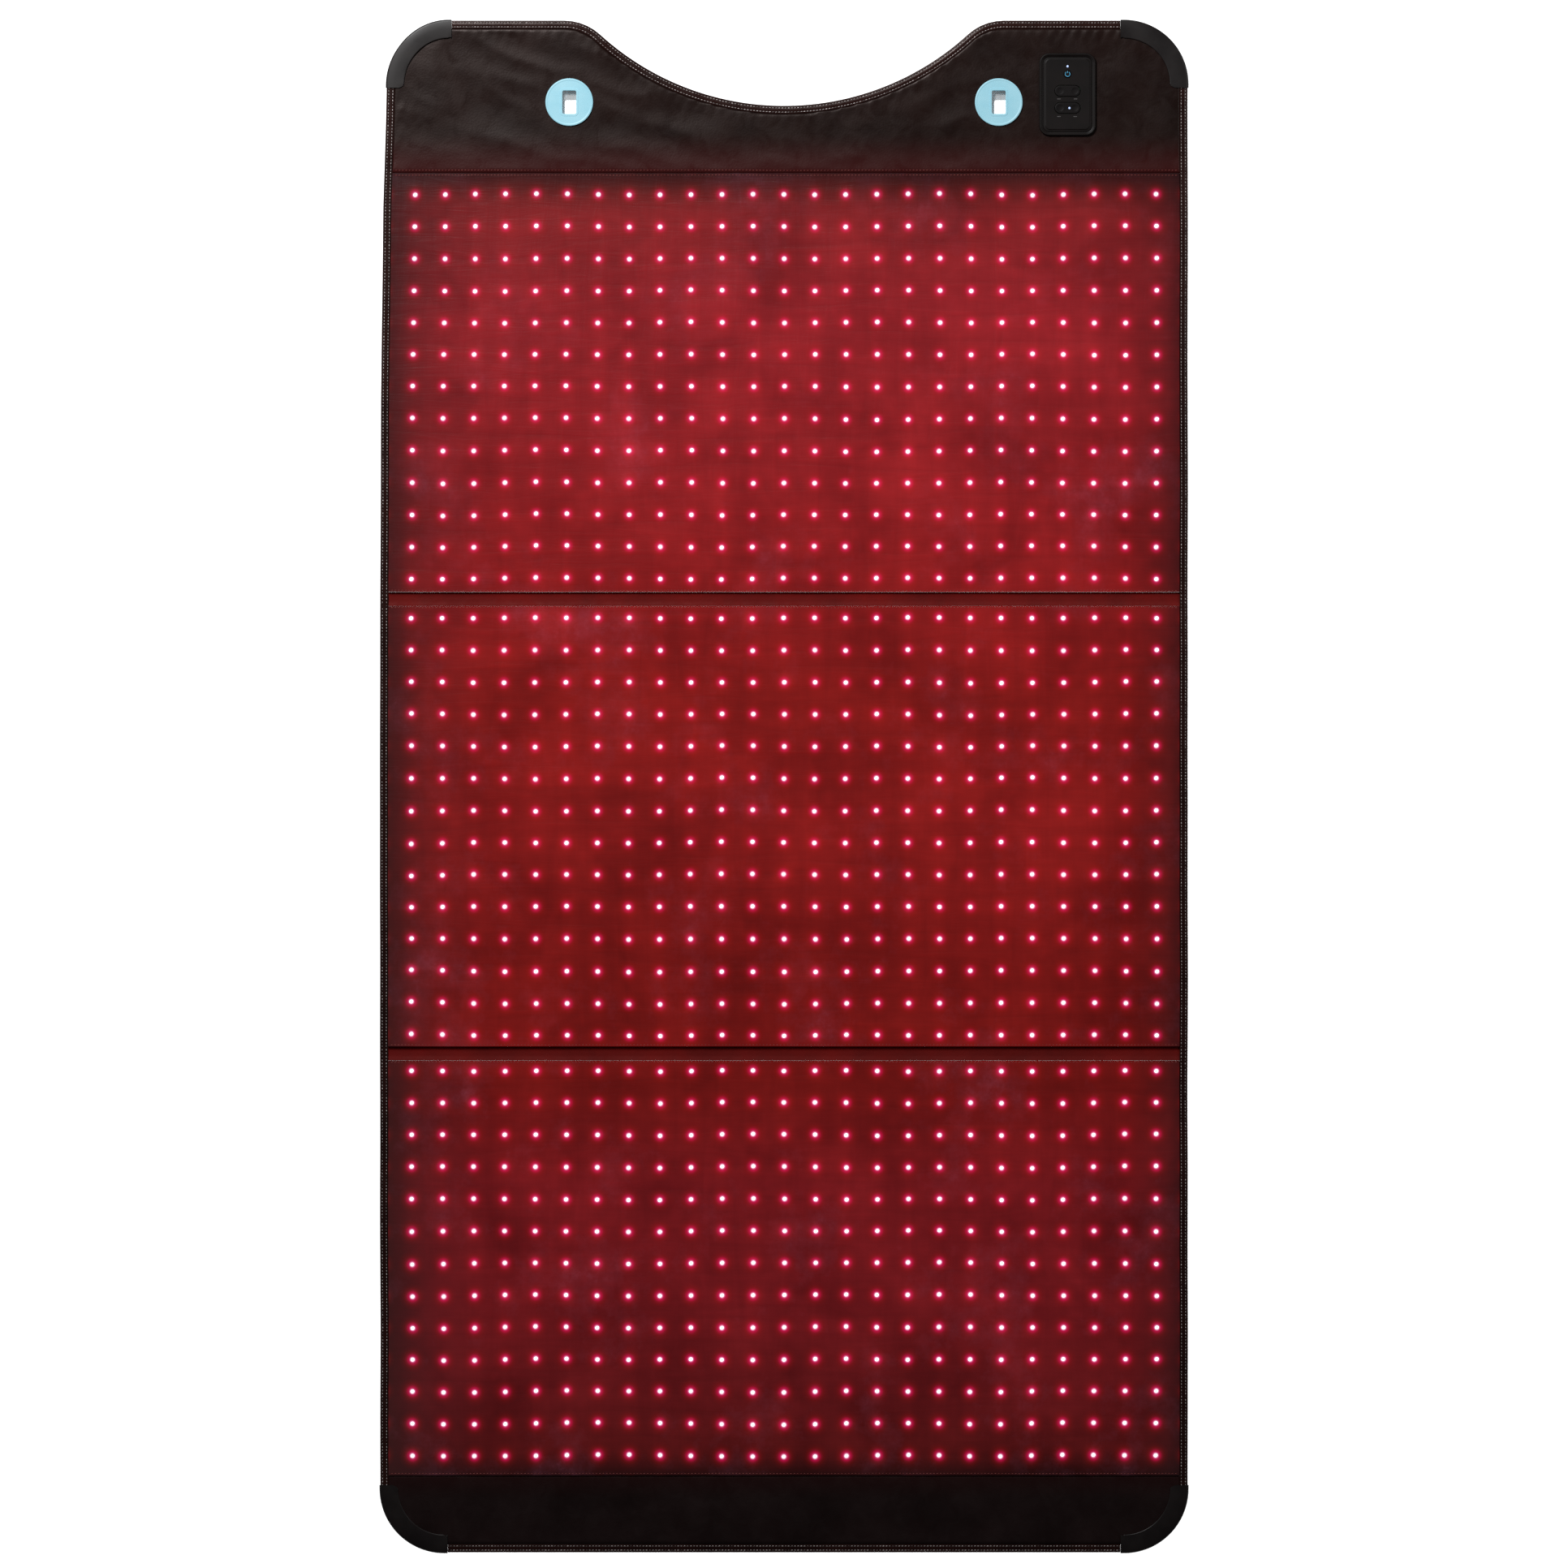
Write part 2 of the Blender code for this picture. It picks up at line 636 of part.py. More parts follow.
def make_face(materials):
    """The controller's face plate, with an opening for each key and light."""
    size = (FACE_WIDTH, FACE_LENGTH)
    face = softened_block(
        "controller_face",
        CONTROLLER_CENTRE,
        size,
        FACE_CORNER,
        (FACE_LOW, FACE_HIGH),
        KEY_EDGE,
        materials["controller_plastic"],
    )
    power_hole = circle(on_controller(0, POWER_POSITION), POWER_DIAMETER / 2 + KEY_CLEARANCE)
    cut_through([face], "power_hole", power_hole, FACE_LOW, FACE_HIGH)
    for name, y in (("timer", TIMER_POSITION), ("mode", MODE_POSITION)):
        opening = rounded_rectangle(
            on_controller(0, y),
            ROCKER_LENGTH + 2 * KEY_CLEARANCE,
            ROCKER_WIDTH + 2 * KEY_CLEARANCE,
            ROCKER_WIDTH / 2 + KEY_CLEARANCE,
        )
        cut_through([face], f"{name}_opening", opening, FACE_LOW, FACE_HIGH)
    light_hole = circle(on_controller(0, STATUS_POSITION), LIGHT_DIAMETER / 2 + GAP)
    cut_through([face], "status_hole", light_hole, FACE_LOW, FACE_HIGH)
    for number, place in enumerate(screw_places(), 1):
        hole = circle(place, SCREW_SHAFT_RADIUS + GAP)
        top = FACE_LOW + SCREW_BITE + GAP
        cut(face, prism(f"screw_hole_{number}", hole, FACE_LOW - GAP, top))
    return face


def make_bezel(materials):
    bezel = softened_block(
        "controller_bezel",
        CONTROLLER_CENTRE,
        (BEZEL_WIDTH, BEZEL_LENGTH),
        BEZEL_CORNER,
        (BEZEL_LOW, BEZEL_HIGH),
        BEZEL_EDGE,
        materials["controller_plastic"],
    )
    opening = rounded_rectangle(
        CONTROLLER_CENTRE,
        BEZEL_WIDTH - 2 * BEZEL_BAND,
        BEZEL_LENGTH - 2 * BEZEL_BAND,
        BEZEL_CORNER - BEZEL_BAND,
    )
    cut_through([bezel], "bezel_opening", opening, BEZEL_LOW, BEZEL_HIGH)
    return bezel


def make_circuit(materials):
    """The circuit board with its switches, the rockers' ribs and the indicator's chip."""
    half_width = CIRCUIT_WIDTH / 2
    half_length = CIRCUIT_LENGTH / 2
    centre = CONTROLLER_CENTRE
    outline = rectangle(
        centre.x - half_width, centre.x + half_width, centre.y - half_length, centre.y + half_length
    )
    circuit = prism("controller_circuit", outline, CIRCUIT_LOW, CIRCUIT_HIGH, materials["circuit_laminate"])
    root = CIRCUIT_HIGH - GAP
    switch_top = CIRCUIT_HIGH + SWITCH_HEIGHT
    places = [(0, POWER_POSITION)]
    for y in (TIMER_POSITION, MODE_POSITION):
        places += [(-ROCKER_SWITCH_OFFSET, y), (ROCKER_SWITCH_OFFSET, y)]
        x, middle = on_controller(0, y)
        half_rib = ROCKER_WIDTH / 2
        rib = rectangle(
            x - FULCRUM_WIDTH / 2, x + FULCRUM_WIDTH / 2, middle - half_rib, middle + half_rib
        )
        add(circuit, prism("rocker_rib", rib, root, CIRCUIT_HIGH + FULCRUM_HEIGHT))
    for place in places:
        add(circuit, prism("switch", circle(on_controller(*place), SWITCH_RADIUS), root, switch_top))
    chip = circle(on_controller(0, STATUS_POSITION), CHIP_RADIUS)
    add(circuit, prism("status_chip", chip, root, switch_top))
    return circuit


def move_origin(obj, x, y, height):
    """Puts the object's origin on its joint's axis, and leaves its shape where it is."""
    obj.data.transform(Matrix.Translation((-x, -y, -height)))
    obj.location = (x, y, height)


def make_power_button(materials):
    x, y = on_controller(0, POWER_POSITION)
    radius = POWER_DIAMETER / 2
    low = CIRCUIT_HIGH + SWITCH_HEIGHT + POWER_TRAVEL + GAP
    high = FACE_HIGH + POWER_PROUD
    steps = [
        (radius + POWER_FLANGE, low),
        (radius + POWER_FLANGE, low + FLANGE_THICKNESS),
        (radius, low + FLANGE_THICKNESS),
        (radius, high - KEY_EDGE),
        (radius - KEY_EDGE, high),
    ]
    button = turned("power_button", (x, y), steps, materials["key_rubber"])
    move_origin(button, x, y, low)
    return button


def make_rocker(name, y_position, materials):
    x, y = on_controller(0, y_position)
    rocker = softened_block(
        name,
        (x, y),
        (ROCKER_LENGTH, ROCKER_WIDTH),
        ROCKER_WIDTH / 2,
        (KEY_LOW, FACE_HIGH + ROCKER_PROUD),
        KEY_EDGE,
        materials["key_rubber"],
    )
    move_origin(rocker, x, y, KEY_LOW)
    return rocker


def make_controls(materials):
    """The three keys and the two lights: fixed pieces, then the keys with what they carry."""
    power = make_power_button(materials)
    timer = make_rocker("timer_rocker", TIMER_POSITION, materials)
    mode = make_rocker("mode_rocker", MODE_POSITION, materials)
    radius = LIGHT_DIAMETER / 2
    high = FACE_HIGH + ROCKER_PROUD
    lens = materials["indicator_lens"]
    status_place = on_controller(0, STATUS_POSITION)
    status_low = CIRCUIT_HIGH + SWITCH_HEIGHT + GAP
    status = turned("status_light_lens", status_place, [(radius, status_low), (radius, FACE_HIGH)], lens)
    mode_place = on_controller(MODE_LIGHT_OFFSET, MODE_POSITION)
    mode_light = turned("mode_light_lens", mode_place, [(radius, KEY_LOW), (radius, high)], lens)
    cut_through([mode], "mode_light_hole", circle(mode_place, radius + GAP), KEY_LOW, high)
    return status, power, timer, mode, mode_light


def make_screws(materials):
    screws = []
    low = SHELL_LOW + GAP
    neck = low + SCREW_HEAD_THICKNESS
    for number, place in enumerate(screw_places(), 1):
        steps = [
            (SCREW_HEAD_RADIUS, low),
            (SCREW_HEAD_RADIUS, neck),
            (SCREW_SHAFT_RADIUS, neck),
            (SCREW_SHAFT_RADIUS, FACE_LOW + SCREW_BITE),
        ]
        screws.append(turned(f"controller_screw_{number}", place, steps, materials["screw_steel"]))
    return screws


def make_inlet(materials):
    centre = on_controller(0, INLET_POSITION)
    steps = [
        (INLET_RADIUS - INLET_EDGE, 0),
        (INLET_RADIUS, INLET_EDGE),
        (INLET_RADIUS, SHELL_FLOOR_TOP),
    ]
    return turned("power_inlet", centre, steps, materials["inlet_nickel"])


def make_harness(core, shell, materials):
    """The flat cable from the circuit board to the head seam, in a channel in the core."""
    x = CONTROLLER_CENTRE.x
    half = HARNESS_WIDTH / 2
    low, high = CIRCUIT_LOW, CIRCUIT_HIGH
    foot = HEAD_SEAM + GAP / 2
    head = CONTROLLER_CENTRE.y - CIRCUIT_LENGTH / 2 - GAP
    harness = prism(
        "power_harness", rectangle(x - half, x + half, foot, head), low, high, materials["cable_jacket"]
    )
    channel = rectangle(x - half - GAP, x + half + GAP, foot - GAP, head)
    cut(core, prism("core_channel", channel, low - GAP, CORE_HIGH + GAP))
    cut(shell, prism("shell_channel", channel, low - GAP / 2, high + GAP))
    return harness


def make_head_flap(materials):
    """The head flap's fixed pieces, and its keys with what they carry."""
    side_end = HEAD_EDGE - CORNER_RADIUS - GUARD_END - GAP
    head_end = BODY_HALF_WIDTH - CORNER_RADIUS - GUARD_END - GAP
    seam = straight_station(BODY_HALF_WIDTH, HEAD_SEAM + GAP / 2, (-1, 0))
    right = [seam, *corner_stations()]
    guards, helpers = make_guards("head", list, materials)
    back, core, front = make_end_covers(
        "head_flap", right + neck_stations() + mirrored(right), helpers, materials
    )
    run = [straight_station(head_end, HEAD_EDGE, (0, -1))]
    binding = edge_solid(
        "head_flap_binding_neck",
        run + neck_stations() + mirrored(run),
        binding_profile(),
        materials["binding_leather"],
    )
    sides = make_side_bindings("head_flap", HEAD_SEAM + GAP / 2, side_end, materials)
    shell = make_shell([core, front], back, materials)
    eyelets = []
    for side, x in (("left", -EYELET_OFFSET), ("right", EYELET_OFFSET)):
        eyelets += make_eyelet(side, x, [core, front], back, materials)
    status, power, timer, mode, mode_light = make_controls(materials)
    fixed = [
        back, core, front, binding, *sides, *guards, *eyelets, shell, status,
        make_face(materials),
        make_bezel(materials),
        make_circuit(materials),
        make_inlet(materials),
        make_harness(core, shell, materials),
        *make_screws(materials),
    ]
    return fixed, [power, timer, mode], (mode, mode_light)


def make_foot_flap(materials):
    side_end = FOOT_EDGE + CORNER_RADIUS + GUARD_END + GAP
    foot_end = BODY_HALF_WIDTH - CORNER_RADIUS - GUARD_END - GAP
    seam = straight_station(BODY_HALF_WIDTH, FOOT_SEAM - GAP / 2, (-1, 0))
    right = [seam, *turned_round(corner_stations())]
    guards, helpers = make_guards("foot", turned_round, materials)
    covers = make_end_covers("foot_flap", right + mirrored(right), helpers, materials)
    run = [straight_station(foot_end, FOOT_EDGE, (0, 1))]
    binding = edge_solid(
        "foot_flap_binding_end", run + mirrored(run), binding_profile(), materials["binding_leather"]
    )
    sides = make_side_bindings("foot_flap", side_end, FOOT_SEAM - GAP / 2, materials)
    return [*covers, binding, *sides, *guards]


def make_axis(name, y, height, parent=None):
    """An empty on a fold's axis, which carries the pieces that fold with it."""
    axis = bpy.data.objects.new(name, None)
    axis.empty_display_type = "SINGLE_ARROW"
    bpy.context.scene.collection.objects.link(axis)
    axis.location = (0, y, height)
    if parent:
        carry(parent, [axis])
    return axis


def carry(parent, pieces):
    """Parents the pieces and keeps them where they are."""
    bpy.context.view_layer.update()
    for piece in pieces:
        piece.parent = parent
        piece.matrix_parent_inverse = parent.matrix_world.inverted()


def main():
    clear_scene()
    materials = {name: make_material(name) for name in PALETTE}

    make_panel(
        "middle", MIDDLE_PANEL_FOOT, MIDDLE_PANEL_HEAD, LOWER_PANEL_HEAD, UPPER_PANEL_END, materials
    )
    make_fold_strip("upper", MIDDLE_PANEL_HEAD, UPPER_PANEL_END, materials)
    make_fold_strip("lower", LOWER_PANEL_HEAD, MIDDLE_PANEL_FOOT, materials)
    upper = make_panel("upper", UPPER_PANEL_END, HEAD_SEAM, UPPER_PANEL_END, HEAD_SEAM, materials)
    lower = make_panel("lower", FOOT_SEAM, LOWER_PANEL_HEAD, FOOT_SEAM, LOWER_PANEL_HEAD, materials)
    head_flap, keys, (mode, mode_light) = make_head_flap(materials)
    foot_flap = make_foot_flap(materials)

    upper_axis = make_axis("upper_fold_axis", UPPER_FOLD_LINE, FOLD_DOWN_HEIGHT)
    lower_axis = make_axis("lower_fold_axis", LOWER_FOLD_LINE, FOLD_UP_HEIGHT)
    head_axis = make_axis("head_flap_axis", HEAD_SEAM, HEAD_FOLD_HEIGHT, upper_axis)
    foot_axis = make_axis("foot_flap_axis", FOOT_SEAM, FOLD_DOWN_HEIGHT, lower_axis)
    carry(upper_axis, upper)
    carry(lower_axis, lower)
    carry(head_axis, head_flap + keys)
    carry(foot_axis, foot_flap)
    carry(mode, [mode_light])


main()
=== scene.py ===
from math import asin, cos, degrees, hypot, pi, radians, sin

import bmesh
import bpy
from mathutils import Matrix, Vector, noise


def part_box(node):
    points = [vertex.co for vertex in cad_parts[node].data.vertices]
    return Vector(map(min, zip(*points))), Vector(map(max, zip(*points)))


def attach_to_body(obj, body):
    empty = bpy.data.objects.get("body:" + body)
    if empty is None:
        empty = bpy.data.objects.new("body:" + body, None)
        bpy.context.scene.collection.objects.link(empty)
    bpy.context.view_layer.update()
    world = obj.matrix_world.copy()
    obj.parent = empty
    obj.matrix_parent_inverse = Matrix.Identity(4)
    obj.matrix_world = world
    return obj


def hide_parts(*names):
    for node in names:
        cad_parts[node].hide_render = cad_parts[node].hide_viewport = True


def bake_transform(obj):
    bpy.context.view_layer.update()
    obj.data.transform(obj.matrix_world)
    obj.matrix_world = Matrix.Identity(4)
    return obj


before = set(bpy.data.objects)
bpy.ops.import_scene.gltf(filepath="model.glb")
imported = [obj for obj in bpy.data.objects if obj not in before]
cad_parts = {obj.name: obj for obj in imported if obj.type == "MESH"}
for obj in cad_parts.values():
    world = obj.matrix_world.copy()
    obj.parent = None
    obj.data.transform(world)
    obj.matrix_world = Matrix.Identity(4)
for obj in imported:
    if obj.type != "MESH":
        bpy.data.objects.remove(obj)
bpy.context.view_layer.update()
mm = 0.001
scene = bpy.context.scene
print("frame loaded:", len(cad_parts), "nodes")


def lowOf(node):
    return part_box(node)[0]


def highOf(node):
    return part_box(node)[1]


# Places on the mat, all read from the CAD nodes.
place = {
    "side": highOf("middle_binding_right").x,
    "head": highOf("head_flap_binding_neck").y,
    "foot": lowOf("foot_flap_binding_end").y,
    "headSeam": (highOf("upper_core").y + lowOf("head_flap_core").y) / 2,
    "footSeam": (lowOf("lower_core").y + highOf("foot_flap_core").y) / 2,
    "upperStripHead": (lowOf("upper_core").y + highOf("upper_strip_front").y) / 2,
    "upperStripFoot": (highOf("middle_core").y + lowOf("upper_strip_front").y) / 2,
    "lowerStripHead": (lowOf("middle_core").y + highOf("lower_strip_front").y) / 2,
    "lowerStripFoot": (highOf("lower_core").y + lowOf("lower_strip_front").y) / 2,
    "windowTop": highOf("middle_light_window").z,
    "flapTop": highOf("head_flap_front_cover").z,
}
cornerRadius = 75 * mm
tapeWidth = place["side"] - lowOf("middle_binding_right").x
coverInset = place["side"] - highOf("middle_back_cover").x

# How the soft mat lies: the left edge draws in towards the head, and both sides wave a little.
layout = {
    "drawIn": [(0.87, 8.6), (0.78, 6.6), (0.68, 3.6), (0.45, 0.8), (0.0, -0.5), (-0.9, 0.2)],
    "fadeFrom": 300 * mm,
    "wave": 0.5 * mm,
}


def smooth(share):
    share = max(0.0, min(1.0, share))
    return share * share * (3 - 2 * share)


def between(stops, value):
    # reads a falling list of (place, amount) pairs
    if value >= stops[0][0]:
        return stops[0][1]
    for (highAt, high), (lowAt, low) in zip(stops, stops[1:]):
        if value >= lowAt:
            return low + (high - low) * (value - lowAt) / (highAt - lowAt)
    return stops[-1][1]


def slack(point):
    reach = smooth((abs(point.x) - layout["fadeFrom"]) / (place["side"] - layout["fadeFrom"]))
    if not reach:
        return point
    wave = layout["wave"] * noise.noise(Vector((point.x * 2, point.y * 7, 3.1)))
    pull = between(layout["drawIn"], point.y) * mm if point.x < 0 else 0.0
    return point + Vector((reach * (wave + pull), 0, 0))


# ---------- materials ----------


def hexColour(code):
    # sRGB hex to the linear colour that Blender's sockets take
    shares = [int(code[k : k + 2], 16) / 255 for k in (1, 3, 5)]
    linear = [s / 12.92 if s <= 0.04045 else ((s + 0.055) / 1.055) ** 2.4 for s in shares]
    return (*linear, 1.0)


def addNode(tree, kind, settings=None, links=None):
    node = tree.nodes.new(kind)
    for name, value in (settings or {}).items():
        if name == "stops":
            ramp = node.color_ramp.elements
            while len(ramp) < len(value):
                ramp.new(0.5)
            for element, (position, colour) in zip(ramp, value):
                element.position = position
                element.color = hexColour(colour)
        elif isinstance(name, int) or name in node.inputs:
            node.inputs[name].default_value = value
        else:
            setattr(node, name, value)
    for name, source in (links or {}).items():
        tree.links.new(source, node.inputs[name])
    return node


def newMaterial(name, colour, roughness, **sockets):
    material = bpy.data.materials.new(name)
    material.use_nodes = True
    shader = material.node_tree.nodes["Principled BSDF"]
    shader.inputs["Base Color"].default_value = hexColour(colour)
    shader.inputs["Roughness"].default_value = roughness
    for socket, value in sockets.items():
        shader.inputs[socket.replace("_", " ")].default_value = value
    return material, material.node_tree, shader


def makeLeather(name, dark, light, grain, roughness, glow=None):
    # PU leather, a coated fabric with an embossed grain: soft sheen, tone that wanders with handling
    material, tree, shader = newMaterial(name, dark, roughness, IOR=1.5, Specular_IOR_Level=0.23, Specular_Tint=(1.0, 0.86, 0.82, 1.0))
    spot = addNode(tree, "ShaderNodeTexCoord").outputs["Object"]
    tone = addNode(tree, "ShaderNodeTexNoise", {"Scale": 14.0, "Detail": 5.0, "Roughness": 0.6}, {"Vector": spot})
    shade = addNode(
        tree, "ShaderNodeValToRGB", {"stops": [(0.3, dark), (0.7, light)]}, {"Fac": tone.outputs["Fac"]}
    )
    colour = shade.outputs["Color"]
    if glow:
        # red light that the panels throw on the leather beside them
        height = addNode(tree, "ShaderNodeSeparateXYZ", {}, {"Vector": spot})
        spill = addNode(
            tree,
            "ShaderNodeMapRange",
            {"From Min": glow["far"], "From Max": glow["near"], "interpolation_type": "SMOOTHSTEP"},
            {"Value": height.outputs["Y"]},
        )
        tint = addNode(
            tree,
            "ShaderNodeMix",
            {"data_type": "RGBA", 7: hexColour(glow["colour"])},
            {"Factor": spill.outputs["Result"], 6: colour},
        )
        colour = tint.outputs[2]
    tree.links.new(colour, shader.inputs["Base Color"])
    # pebble grain about grain mm across, and the finer pores between
    pebble = addNode(
        tree,
        "ShaderNodeTexVoronoi",
        {"feature": "SMOOTH_F1", "Scale": 1000 / grain, "Smoothness": 0.6},
        {"Vector": spot},
    )
    fold = addNode(
        tree, "ShaderNodeTexNoise", {"Scale": 55.0, "Detail": 4.0, "Distortion": 0.8}, {"Vector": spot}
    )
    first = addNode(
        tree,
        "ShaderNodeBump",
        {"Strength": 0.13, "Distance": 0.0012},
        {"Height": fold.outputs["Fac"]},
    )
    second = addNode(
        tree,
        "ShaderNodeBump",
        {"Strength": 0.3, "Distance": 0.0002},
        {"Height": pebble.outputs["Distance"], "Normal": first.outputs["Normal"]},
    )
    tree.links.new(second.outputs["Normal"], shader.inputs["Normal"])
    wear = addNode(
        tree,
        "ShaderNodeMapRange",
        {"From Min": 0.3, "From Max": 0.7, "To Min": roughness - 0.07, "To Max": roughness + 0.08},
        {"Value": fold.outputs["Fac"]},
    )
    tree.links.new(wear.outputs["Result"], shader.inputs["Roughness"])
    return material


def makePlastic(name, colour, speckAndGlint, roughness, grain=0.9, strength=0.15, patch=38.0, **sockets):
    # moulded plastic, ABS or PC, from a spark-textured tool: even colour, very fine matt grain
    material, tree, shader = newMaterial(name, colour, roughness, IOR=1.48, **sockets)
    spot = addNode(tree, "ShaderNodeTexCoord").outputs["Object"]
    # second colour: random specks in the plastic; on the tape stitches it is painted glints, stitches catching the
    # light
    mottleAndGlint = addNode(tree, "ShaderNodeTexNoise", {"Scale": patch, "Detail": 3.0}, {"Vector": spot})
    tone = addNode(
        tree, "ShaderNodeValToRGB", {"stops": [(0.35, colour), (0.7, speckAndGlint)]}, {"Fac": mottleAndGlint.outputs["Fac"]}
    )
    tree.links.new(tone.outputs["Color"], shader.inputs["Base Color"])
    texture = addNode(
        tree, "ShaderNodeTexNoise", {"Scale": 1000 / grain, "Detail": 2.0}, {"Vector": spot}
    )
    bump = addNode(
        tree,
        "ShaderNodeBump",
        {"Strength": strength, "Distance": 0.0001},
        {"Height": texture.outputs["Fac"]},
    )
    tree.links.new(bump.outputs["Normal"], shader.inputs["Normal"])
    rough = addNode(
        tree,
        "ShaderNodeMapRange",
        {"From Min": 0.3, "From Max": 0.7, "To Min": roughness - 0.05, "To Max": roughness + 0.06},
        {"Value": mottleAndGlint.outputs["Fac"]},
    )
    tree.links.new(rough.outputs["Result"], shader.inputs["Roughness"])
    return material


def makeGlowing(name, core, rim, strength, size):
    # light source under a clear dome: its colour wanders between the core tint and the rim tint
    material, tree, shader = newMaterial(name, core, 0.3, IOR=1.45, Emission_Strength=strength)
    spot = addNode(tree, "ShaderNodeTexCoord").outputs["Object"]
    haze = addNode(tree, "ShaderNodeTexNoise", {"Scale": 1000 / size, "Detail": 1.0}, {"Vector": spot})
    tint = addNode(
        tree, "ShaderNodeValToRGB", {"stops": [(0.2, rim), (0.45, core)]}, {"Fac": haze.outputs["Fac"]}
    )
    tree.links.new(tint.outputs["Color"], shader.inputs["Emission Color"])
    tree.links.new(tint.outputs["Color"], shader.inputs["Base Color"])
    return material


film = {
    "pitchX": 36.4 * mm,
    "pitchY": 37.6 * mm,
    "roughness": 0.33,
    # glow between the LEDs, along the mat from the foot seam to the head seam
    "alongMat": [
        (0.0, "#1d0a0a"), (0.02, "#4a0f10"), (0.07, "#561114"), (0.14, "#631317"), (0.22, "#6a1418"),
        (0.3, "#66110f"), (0.38, "#6c1210"), (0.5, "#7a1615"), (0.6, "#7c1614"), (0.68, "#841819"),
        (0.78, "#881b1f"), (0.9, "#8c1e24"), (0.97, "#7c1d20"), (0.99, "#4c1615"), (1.0, "#2c1111"),
    ],
    # share of it across the mat, left to right
    "acrossMat": [
        (0.0, "#5e5e5e"), (0.015, "#8e8e8e"), (0.05, "#dcdcdc"), (0.1, "#f4f4f4"), (0.16, "#ffffff"),
        (0.86, "#ffffff"), (0.95, "#dadada"), (0.985, "#b4b4b4"), (1.0, "#828282"),
    ],
    # painted light: a dull brown glow added to the film in the margin beside the tape, stronger on the left
    "marginGlow": [
        (0.0, "#2a1414"), (0.02, "#231112"), (0.06, "#13080a"), (0.13, "#000000"), (0.94, "#000000"), (0.99, "#160b0c"),
    ],
    # what each LED adds round itself, over 16 mm
    "halo": [
        (0.0, "#ffffff"), (0.13, "#ffd3e8"), (0.18, "#d47ca0"), (0.235, "#aa2555"), (0.3, "#9a0037"),
        (0.36, "#8c002d"), (0.42, "#71001e"), (0.48, "#550011"), (0.6, "#380000"), (0.76, "#1d0000"),
        (1.0, "#000000"),
    ],
}


